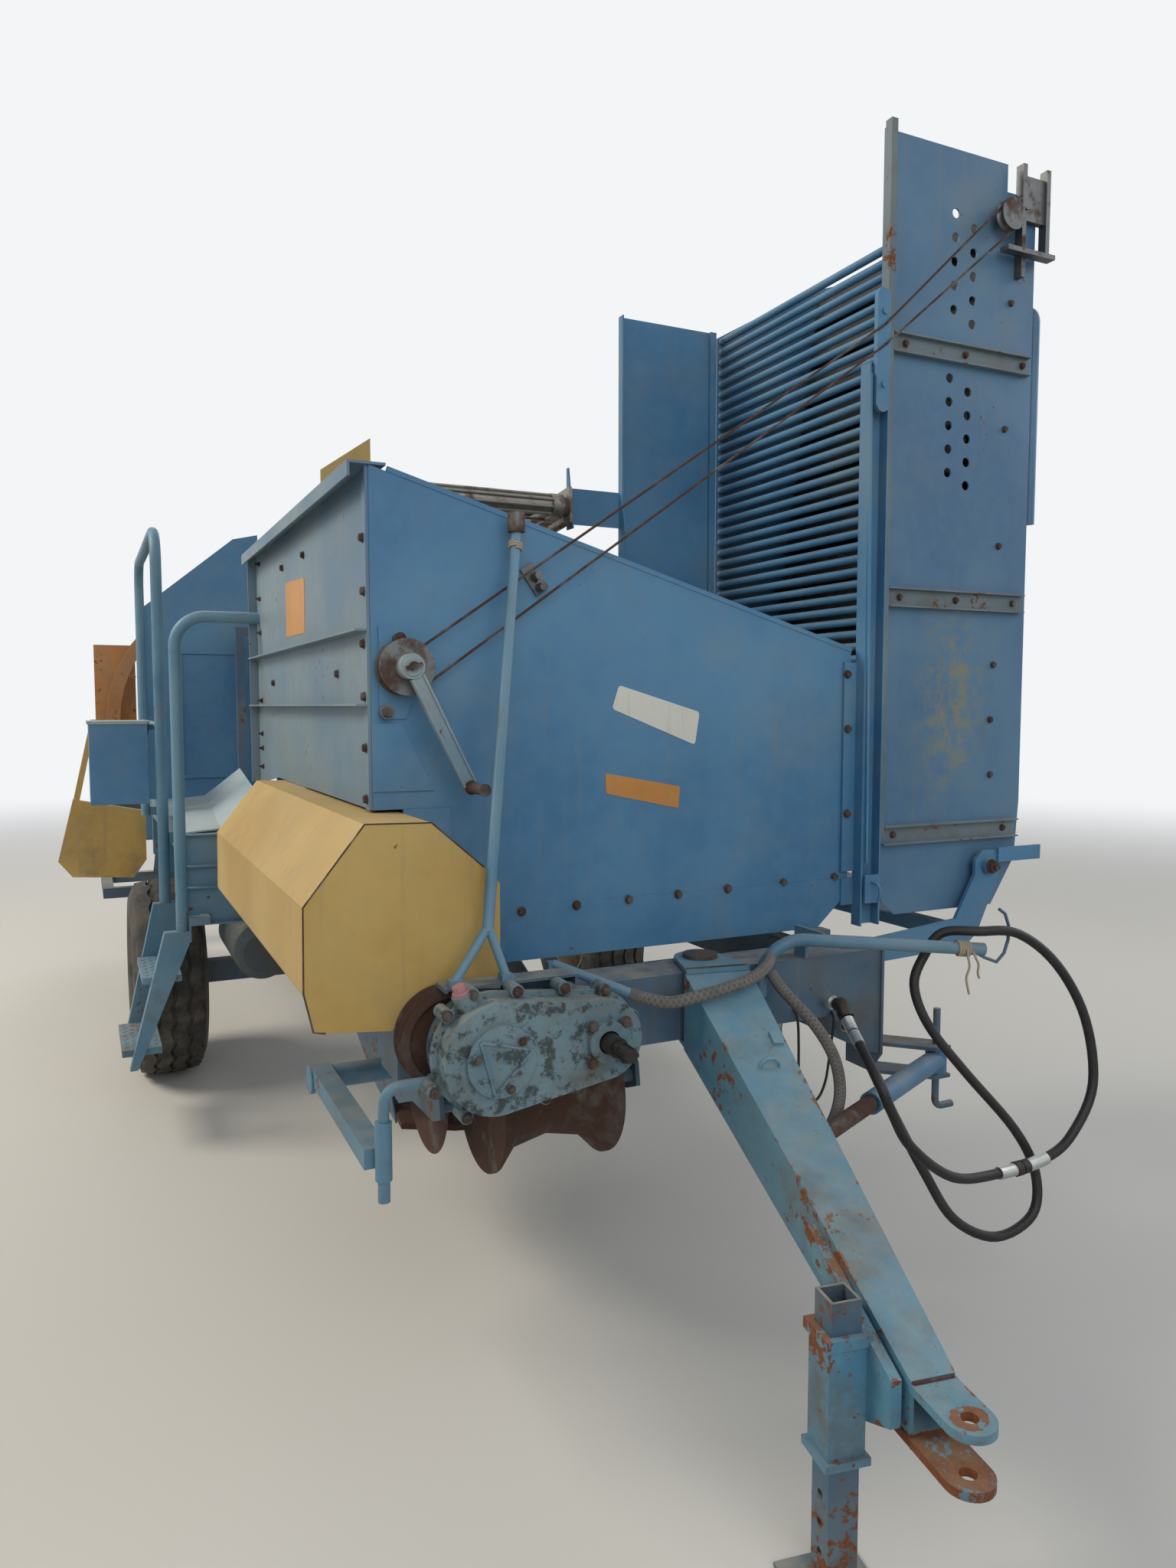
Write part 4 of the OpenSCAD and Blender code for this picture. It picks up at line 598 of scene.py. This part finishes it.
def puck(shape, place, axis, radius, height, sides=16, top=None):
    """Adds a disc, cone or prism on a place; it starts 0.6 mm inside so that it's seated."""
    bmesh.ops.create_cone(shape, cap_ends=True, segments=sides, radius1=radius / 1000,
                          radius2=(radius if top is None else top) / 1000, depth=(height + 0.6) / 1000,
                          matrix=facing(place, axis) @ Matrix.Translation((0, 0, (height - 0.6) / 2000)))


def hex_bolt(shape, place, axis, across=17.0, tip=0.0):
    """Washer, hexagon head and, for a nut's side, the thread's tip."""
    washer = Vector(place) + Vector(axis).normalized() * 2.4
    crown = Vector(place) + Vector(axis).normalized() * (2.4 + across * 0.42)
    puck(shape, place, axis, across * 0.72, 2.4, 18)
    puck(shape, washer, axis, across * 0.577, across * 0.42, 6)
    puck(shape, crown, axis, across * 0.40, 0.9, 18, across * 0.34)
    if tip:
        puck(shape, crown, axis, across * 0.29, tip, 12)


def on_circle(centre, side, other, radius, angle):
    """A point of the circle round a centre that two sides at right angles span."""
    return centre + (side * math.cos(angle) + other * math.sin(angle)) * radius


def join_rings(shape, rings, closed=False):
    """Faces from each ring of points to the next, and end caps unless the last ring meets the first."""
    count = len(rings[0])
    for a, b in zip(rings, rings[1:] + (rings[:1] if closed else [])):
        for k in range(count):
            shape.faces.new((a[k], a[(k + 1) % count], b[(k + 1) % count], b[k]))
    if not closed:
        shape.faces.new(rings[0][::-1])
        shape.faces.new(rings[-1])


def sweep(shape, points, diameter, sides=8):
    """Adds a round bar along points in mm."""
    p = [Vector(q) / 1000 for q in points]
    rings, side = [], None
    for i, q in enumerate(p):
        ahead = (p[min(i + 1, len(p) - 1)] - p[max(i - 1, 0)]).normalized()
        if side is None:
            side = ahead.orthogonal()
        side = (side - ahead * side.dot(ahead)).normalized()
        other = ahead.cross(side)
        rings.append([shape.verts.new(on_circle(q, side, other, diameter / 2000, 2 * math.pi * k / sides))
                      for k in range(sides)])
    join_rings(shape, rings)


def plate(shape, corners, push):
    """Adds a flat plate: a face of corners in metres, pushed out. Gives back the corners that moved."""
    low = shape.faces.new([shape.verts.new(c) for c in corners])
    made = bmesh.ops.extrude_face_region(shape, geom=[low])["geom"]
    top = [g for g in made if isinstance(g, bmesh.types.BMVert)]
    bmesh.ops.translate(shape, verts=top, vec=push)
    return top


print("tools ready")

# %% [markdown]
# ## Bolts
# The sheets are held by rows of hexagon bolts, rusted darker than the sheets. Each row of the table names the
# body, the node under the heads, the way they face, their size across the flats and the length of their tip.
# Then come the sheet's plane, in mm, and the places in it: along the sheet and up.

# %% Bolts
FRONT, RIGHTWARD = (0, -1, 0), (-1, 0, 0)
bolt_rows = [
    ("frame", "front_wall guide_post", FRONT, 17, 0, -1955,
     [(-360, 1088), (-208, 1091), (-56, 1094), (94, 1096), (252, 1099), (441, 1102), (621, 1105), (649, 1692),
      (653, 1535), (655, 1290)]),
    ("frame", "right_wall", RIGHTWARD, 16, 0, -731,
     [(-1172, 2046), (-819, 2049), (-1603, 1685), (-608, 1681), (-1920, 1991), (-1926, 1867), (-1919, 1746),
      (-1921, 1623), (-1926, 1503), (-1926, 1382)]),
    ("frame", "right_wall", RIGHTWARD, 13, 14, -735,
     [(y, 1306) for y in (-1186, -1331, -1475, -1635, -1792)]),
    ("frame", "right_wall", RIGHTWARD, 13, 8, -740,
     [(-345, z) for z in (2117, 1992, 1869, 1622, 1500, 1447, 1379)]),
    ("frame", "winch", FRONT, 20, 0, -1960, [(-669, 1757), (-699, 1587)]),
    ("frame", "gearbox", FRONT, 17, 0, -2352,
     [(-685, 967), (-630, 1005), (-530, 1000), (-420, 994), (-323, 978), (-713, 810), (-645, 747), (-465, 760),
      (-255, 912)]),
    ("frame", "gearbox", FRONT, 19, 0, -2404,
     [(-340 + 56 * math.cos(a), 880 + 56 * math.sin(a)) for a in (0.785, 2.356, 3.927, 5.498)]),
    ("frame", "gearbox", FRONT, 13, 0, -2414, [(-544, 913), (-570, 816), (-641, 887)]),
    ("frame", "hinge_arms", FRONT, 32, 12, -1990, [(1184, 1107)]),
    ("elevator", "elevator_casing", FRONT, 15, 0, -1948,
     [(1260, 2827), (1249, 2449), (1236, 2094), (1227, 1729), (1220, 1559), (1226, 1387), (844, 2646),
      (1309, 2646), (1075, 2646), (842, 1920), (1296, 1920), (1060, 1920), (835, 1218), (1280, 1218)]),
]
heads = {}
for body, names, axis, across, tip, plane, places in bolt_rows:
    shape = heads.setdefault(body, bmesh.new())
    for aside, up in places:
        place = (aside, plane, up) if axis == FRONT else (plane, aside, up)
        hex_bolt(shape, seat(names, place, axis), axis, across, tip)
for body, shape in heads.items():
    keep(body + "_bolts", shape, bolt_steel, body, 30)
print("bolts on", list(heads))

# %% [markdown]
# ## Wire ropes
# The winch's rope tilts the elevator. A laid rope shows its strands, so each one here is a circle with every
# third point pulled in, drawn out in 6 mm steps and turned a little at each, which gives a lay of 45 mm. The
# two falls between post and head swing with the elevator at one end only, so they ride on no body.

# %% Wire ropes
def wire_rope(shape, a, b, diameter=7.0, step=6.0, lay=45.0):
    """Adds a laid rope from a to b, in mm."""
    a, b = Vector(a), Vector(b)
    out = (b - a).normalized()
    count = max(2, round((b - a).length / step))
    ring = bmesh.ops.create_circle(shape, cap_ends=False, segments=18, radius=diameter / 2000,
                                   matrix=facing(a, out))["verts"]
    centre = a / 1000
    for k, vert in enumerate(ring):
        if k % 3 == 0:
            vert.co = centre + (vert.co - centre) * 0.72
    edges = list({e for v in ring for e in v.link_edges})
    first = edges
    for k in range(count):
        made = bmesh.ops.extrude_edge_only(shape, edges=edges)["geom"]
        verts = [g for g in made if isinstance(g, bmesh.types.BMVert)]
        bmesh.ops.translate(shape, verts=verts, vec=(b - a) / count / 1000)
        at = (a + (b - a) * (k + 1) / count) / 1000
        bmesh.ops.rotate(shape, verts=verts, cent=at,
                         matrix=Matrix.Rotation(2 * math.pi * (b - a).length / count / lay, 3, out))
        edges = [g for g in made if isinstance(g, bmesh.types.BMEdge) and len(g.link_faces) == 1
                 and all(v in verts for v in g.verts)]
    bmesh.ops.holes_fill(shape, edges=first + edges)


shape = bmesh.new()
wire_rope(shape, (-640, -1981, 1724), (716, -2013.5, 2662))
wire_rope(shape, (-604, -1972, 1652), (716, -2013.5, 2606))
ropes = keep("winch_rope_strands", shape, rope_steel, "frame", 60)
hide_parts("winch_rope")
shape = bmesh.new()
wire_rope(shape, (720, -2013.5, 2665), (1175, -1996, 3085.5))
wire_rope(shape, (720, -2013.5, 2609), (1224, -1996, 3027))
falls = keep("tackle_rope_strands", shape, rope_steel, None, 60)
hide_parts("tackle_rope")
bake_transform(falls)
print("ropes laid", len(ropes.data.polygons), len(falls.data.polygons))

# %% [markdown]
# ## Tyres
# The two tyres have four zigzag ribs each, which a full spin of a profile alone can't make. The carcass is spun
# 12 mm smaller, and each rib is a closed band whose edges shift from side to side at every step of the turn.

# %% Tyres with ribs
AXLE_Y, AXLE_Z = 560, 422.5  # where the wheels turn, in mm


def tyre_piece(name, centre_x, body, node):
    """A tyre in place of its plain node, between the radius of its rim and its reach to the ground."""
    rim, reach, half, turns = 195.3, AXLE_Z, 145.0, 96
    side = [(half - 36, rim), (half - 36, rim + 12), (half - 8, rim + 50), (half, rim + 90), (half - 3, reach - 72),
            (half - 20, reach - 32), (half - 60, reach - 17)]
    profile = [(-half + 36, rim), *side, (0, reach - 12), *((-x, r) for x, r in side[:0:-1])]
    shape = bmesh.new()

    def at(x, radius, angle):
        return Vector((centre_x + x, AXLE_Y + radius * math.sin(angle), AXLE_Z + radius * math.cos(angle))) / 1000

    verts = [shape.verts.new(at(x, r, 0)) for x, r in profile]
    edges = [shape.edges.new((verts[k], verts[(k + 1) % len(verts)])) for k in range(len(verts))]
    bmesh.ops.spin(shape, geom=verts + edges, cent=at(0, 0, 0), axis=(1, 0, 0), angle=2 * math.pi, steps=turns,
                   use_merge=True, use_duplicate=False)
    for left, right in ((-112, -70), (-54, -8), (8, 54), (70, 112)):
        rings = []
        for k in range(turns):
            angle = 2 * math.pi * k / turns
            shift = 5.0 if k % 4 < 2 else -5.0
            corners = []
            for x, up in ((left, 0), (right, 0), (right, 1), (left, 1)):
                crown = reach - 0.6 - 14.0 * (abs(x) / 112) ** 2.2
                corners.append(shape.verts.new(at(x + shift, crown if up else crown - 22, angle)))
            rings.append(corners)
        join_rings(shape, rings, closed=True)
    bmesh.ops.recalc_face_normals(shape, faces=shape.faces)
    tyre = keep(name, shape, tyre_rubber, body, 40)
    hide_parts(node)
    print(name, "of", len(tyre.data.polygons), "faces")


tyre_piece("right_tyre_ribbed", -1030, "wheel_right", "tyre_right")
tyre_piece("left_tyre_ribbed", 1030, "wheel_left", "tyre_left")

# %% [markdown]
# ## Blank plates and films
# The plates and films of the walls are bare shapes with nothing on them. Each one is laid on its wall by its
# four corners, a millimetre thick, and its corners are bevelled round.

# %% Plates
def blank_plate(name, corners, axis, node, finish, round_mm):
    """A plate or film on a node, by its corners in mm: it is let in 0.5 mm and stands out 1.2 mm."""
    shape = bmesh.new()
    out = Vector(axis)
    base = [seat(node, c, axis) for c in corners]
    depth = max(p.dot(out) for p in base)
    top = plate(shape, [(p + out * (depth - p.dot(out) - 0.5)) / 1000 for p in base], out * (1.2 + 0.5) / 1000)
    walls = [e for e in shape.edges if (e.verts[0] in top) != (e.verts[1] in top)]
    bmesh.ops.bevel(shape, geom=walls, offset=round_mm / 1000, segments=5, profile=0.5, affect="EDGES",
                    material=-1)
    bmesh.ops.recalc_face_normals(shape, faces=shape.faces)
    keep(name, shape, finish, "frame")


blank_plate("front_blank_plate", [(-104, -1950, 1594), (-84, -1950, 1655), (160, -1950, 1585), (146, -1950, 1497)],
            FRONT, "front_wall", blank_white, 9)
blank_plate("front_blank_film", [(-123, -1950, 1428), (100, -1950, 1387), (96, -1950, 1328), (-121, -1950, 1375)],
            FRONT, "front_wall", blank_orange, 5)
blank_plate("side_blank_film", [(-731, -870, 1995), (-731, -1177, 1980), (-731, -1173, 1818), (-731, -873, 1822)],
            RIGHTWARD, "right_wall", blank_orange, 5)
print("plates on")

# %% [markdown]
# ## Hose fittings
# The black hose carries crimped ferrules and couplings. Each is a short sleeve over a stretch of the hose, found
# by its distance along the line. A bent rod at the carrier's tip is the hook that the hose hangs in.

# %% Ferrules, couplings and the carrier's hook
def along(points, start, stop, count=6):
    """Points of a line, in mm, between two distances along it in mm."""
    runs = [0.0]
    for a, b in zip(points, points[1:]):
        runs.append(runs[-1] + (b - a).length * 1000)
    found = []
    for k in range(count + 1):
        want = start + (stop - start) * k / count
        i = min(max(j for j in range(len(runs)) if runs[j] <= want), len(points) - 2)
        part = (want - runs[i]) / max(runs[i + 1] - runs[i], 1e-6)
        found.append((points[i] + (points[i + 1] - points[i]) * part) * 1000)
    return found


zinc, dark = bmesh.new(), bmesh.new()
for start, stop, width, shape in ((6, 44, 38, dark), (44, 62, 42, dark), (66, 112, 33, zinc), (116, 160, 31, zinc),
                                  (850, 906, 33, zinc), (906, 924, 39, dark), (928, 948, 37, dark),
                                  (950, 1012, 34, zinc)):
    sweep(shape, along(hose_runs[0][1], start, stop), width, 14)
fittings = (keep("hose_ferrules", zinc, zinc_steel, "frame", 40),
            keep("hose_couplings", dark, shaft_steel, "frame", 40))

shape = bmesh.new()
sweep(shape, [(775, -2318, 958), (820, -2335, 930), (861, -2338, 914), (890, -2336, 935), (905, -2335, 970),
              (906, -2334, 1010), (893, -2333, 1042), (872, -2332, 1056)], 9, 8)
keep("tip_hook", shape, frame_enamel, "frame", 50)
print("fittings and hook made")

# %% [markdown]
# ## Bars, welds and lugs
# Flat bars and weld beads finish the drawbar, the crank and the front. A bead is a half sunk bar whose thickness
# swells at every ripple, 3.4 mm apart. The drawbar stands turned aside, so its pieces are placed in its own
# frame, with the pivot at the origin and the hitch along -Y, and moved to where it stands.

# %% Drawbar, crank and front
def on_bar(x, y, z):
    """A place in the drawbar's own frame, in mm, moved to where the bar stands."""
    cos, sin = math.cos(SWING), math.sin(SWING)
    return Vector((PIVOT[0] * 1000 + x * cos + y * sin, PIVOT[1] * 1000 - x * sin + y * cos, z))


def bead(shape, a, b, width=7.0, pitch=3.4):
    """Adds a weld bead from a to b, in mm."""
    a, b = Vector(a), Vector(b)
    ahead = (b - a).normalized()
    side = ahead.orthogonal()
    other = ahead.cross(side)
    count = max(3, round((b - a).length / pitch) * 2)
    rings = []
    for i in range(count + 1):
        radius = width / 2 * (1.0 if i % 2 else 0.80) * (0.5 if i in (0, count) else 1)
        q = a + (b - a) * i / count
        rings.append([shape.verts.new(on_circle(q, side, other, radius, math.pi * k / 3) / 1000) for k in range(6)])
    join_rings(shape, rings)


def bar_box(shape, a, b, up, width, height):
    """Adds a flat bar from a to b, in mm, that stands on them by its height along `up`."""
    a, b, up = Vector(a), Vector(b), Vector(up).normalized()
    ahead = (b - a).normalized()
    turn = Matrix((ahead, up.cross(ahead), up)).transposed().to_4x4()
    size = Matrix.Diagonal(((b - a).length / 1000, width / 1000, height / 1000, 1))
    bmesh.ops.create_cube(shape, size=1.0,
                          matrix=Matrix.Translation(((a + b) / 2 + up * height / 2) / 1000) @ turn @ size)


# On the drawbar: a bail, a lug, and welds at the tongue, the head and the leg's collar
shape = bmesh.new()
sweep(shape, [on_bar(-22, -408, 778), on_bar(-20, -410, 796), on_bar(-6, -412, 808), on_bar(12, -412, 808),
              on_bar(26, -410, 796), on_bar(28, -408, 776)], 9, 8)
bar_box(shape, on_bar(52, -352, 815), on_bar(55, -318, 832), (0, -0.45, 0.9), 26, 9)
keep("drawbar_bail", shape, bar_enamel, "bar", 50)
shape = bmesh.new()
bead(shape, on_bar(-41, -1051, 457), on_bar(41, -1051, 457))
bead(shape, on_bar(-43, -1051, 345), on_bar(43, -1051, 345))
bead(shape, on_bar(-84, -114, 947), on_bar(84, -114, 947), 6)
bead(shape, on_bar(-75, -962, 480), on_bar(-75, -890, 480), 6)
keep("drawbar_welds", shape, bolt_steel, "bar", 70)

# On the winch: the crank's two rims, and the winged bolt in its hub
arm = (GRIP - HUB).normalized()
across = Vector((-arm.z, 0, arm.x))
shape = bmesh.new()
for offset in (across * -14.5, across * 14.5):
    bar_box(shape, HUB + arm * 27 + offset, GRIP - arm * 8 + offset, FRONT, 5, 5)
puck(shape, (-659, -2046, 1691), FRONT, 25, 4, 24, 22)
keep("crank_rims", shape, crank_enamel, "frame", 40)
shape = bmesh.new()
puck(shape, (-659, -2050, 1691), FRONT, 11, 11, 16)
bar_box(shape, (-678, -2054, 1686), (-640, -2054, 1696), FRONT, 9, 9)
puck(shape, (-520, -2130, 1410), FRONT, 15, 5, 20)
puck(shape, (-520, -2042, 1410), FRONT, 17, 5, 20)
keep("crank_bolt", shape, bolt_steel, "frame", 40)

# On the front: the thin bar beside the post, the lug and hook under it, and the gusset between guard and wall
shape = bmesh.new()
bar_box(shape, (682, -1995.3, 2530), (698, -1995.3, 1148), FRONT, 8, 7)
bar_box(shape, (718, -1995.3, 1030), (718, -1995.3, 1112), FRONT, 52, 8)
sweep(shape, [(718, -2002, 1090), (718, -2024, 1088), (719, -2036, 1074), (719, -2036, 1052), (718, -2028, 1040)],
      10, 8)
keep("post_fittings", shape, blue_enamel, "frame", 40)
shape = bmesh.new()
outline = [(-659, 1356.6), (-541, 1356.6), (-541, 1243.5), (-546, 1247), (-661, 1348.5)]
plate(shape, [(x / 1000, -1.955, z / 1000) for x, z in outline], (0, 0.005, 0))
bmesh.ops.recalc_face_normals(shape, faces=shape.faces)
keep("notch_gusset", shape, blue_enamel, "frame")

# The rusty seam where the guard's front plate is let into its folded cover
shape = bmesh.new()
seam = [(-545, 1244), (-665, 1349), (-811, 1352), (-942, 1185), (-944, 1004), (-925, 920), (-900, 915)]
sweep(shape, [(x, -2192.6, z) for x, z in seam], 4.2, 6)
keep("guard_seam", shape, bolt_steel, "frame", 60)
print("bail, welds, crank and front made")

# %% [markdown]
# ## Cords
# The pale cord round the carrier's tip has two loose tails, and a thin black cable hangs in a bow under the
# beam. Both hang free, and the length of each is printed, as the hoses' are.

# %% Cord, tails and cable
cord_fibre = rubber("frayed_pale_cord", "#a79a86", "#7e7264", amount=0.5, grain_mm=3, gloss=0.9)
black_cable = rubber("black_cable_sheath", "#161617", "#3c3834", amount=0.3, grain_mm=4, gloss=0.5)


def wrapping(name, start, axis, radius, pitch, turns, steps, diameter, sides):
    """A cord wound round an axis from a start in mm."""
    axis = Vector(axis)
    side = axis.orthogonal().normalized()
    other = axis.cross(side)
    shape = bmesh.new()
    sweep(shape, [on_circle(start + axis * (pitch * k / steps), side, other, radius, 2 * math.pi * k / steps)
                  for k in range(turns * steps)], diameter, sides)
    keep(name, shape, cord_fibre, "frame", 50)


TIP = Vector((0.952, -0.294, -0.084))  # the way the carrier's tip points
wrapping("cord_wrapping", Vector((822, -2330, 951)) - TIP * 78, TIP, 19.5, 7.0, 5, 14, 7.5, 7)
wrapping("lever_binding", Vector((-392, -2008, 1990)), (-0.184, -0.274, -0.944), 15.6, 6.0, 3, 12, 6, 6)


def free_cord(name, route, diameter, finish):
    """A loose cord of the frame through points in mm; its length is printed."""
    points = smooth(route, 6)
    shape = bmesh.new()
    sweep(shape, [p * 1000 for p in points], diameter)
    piece = keep(name, shape, finish, "frame", 60)
    print(name, "runs", round(run_of(points), 3), "m")


free_cord("pale_tail_long", [(760, -2334, 958), (757, -2339, 940), (761, -2341, 912), (752, -2340, 884),
                             (757, -2340, 858), (764, -2339, 838)], 6, cord_fibre)
free_cord("pale_tail_short", [(775, -2338, 952), (781, -2343, 934), (790, -2344, 915), (788, -2344, 893),
                              (795, -2343, 878)], 6, cord_fibre)
free_cord("thin_cable", [(348, -2131, 795), (349, -2143, 785), (351, -2149, 755), (353, -2150, 700),
                         (355, -2150, 629), (366, -2150, 575), (391, -2150, 540), (421, -2150, 548),
                         (443, -2150, 588), (454, -2150, 645), (462, -2150, 700), (470, -2148, 745),
                         (474, -2142, 762), (475, -2131, 772)], 7, black_cable)

# %% [markdown]
# ## Plug, nuts and treads
# The gearbox has a faded plastic filler plug. Six nuts and a valve show on each wheel, and the ladder's steps are
# chequer plate, with short ribs that turn by a right angle from one to the next.

# %% Filler plug, wheel nuts and step treads
plug_resin = rubber("faded_pink_plug", "#a9797c", "#7b6260", amount=0.4, grain_mm=3, gloss=0.5)
shape = bmesh.new()
place, axis = Vector((-650.2, -2340, 1006.7)), Vector((-0.3746, 0, 0.9272))
puck(shape, place, axis, 19, 7, 20)
puck(shape, place + axis * 7, axis, 15, 13, 6)
keep("filler_plug", shape, plug_resin, "frame", 30)
for body, sign in (("wheel_right", -1), ("wheel_left", 1)):
    shape = bmesh.new()
    outward = (sign, 0, 0)
    for k in range(6):
        angle = math.pi * k / 3 + 0.3
        nut = (sign * 1095, AXLE_Y + 56 * math.cos(angle), AXLE_Z + 56 * math.sin(angle))
        hex_bolt(shape, nut, outward, 19, 8)
    puck(shape, (sign * 1116.6, AXLE_Y, AXLE_Z), outward, 20, 6, 24, 16)
    sweep(shape, [(sign * 1040, AXLE_Y, 250), (sign * 1062, AXLE_Y, 254), (sign * 1086, AXLE_Y, 262)], 9, 10)
    keep(body + "_nuts", shape, bolt_steel, body, 30)
shape = bmesh.new()
for step_x, top_z in ((-1240, 355), (-1165, 615)):
    for i in range(5):
        for j in range(14):
            place = Matrix.Translation(Vector((step_x + 18 + i * 25, -268 + j * 26, top_z + 0.6)) / 1000)
            turn = Matrix.Rotation(math.pi / 4 if (i + j) % 2 else -math.pi / 4, 4, "Z")
            bmesh.ops.create_cone(shape, cap_ends=True, segments=4, radius1=0.011, radius2=0.008, depth=0.0018,
                                  matrix=place @ turn @ Matrix.Diagonal((1, 0.3, 1, 1)))
keep("step_treads", shape, blue_enamel, "frame", 30)
print("plug, nuts and treads made")
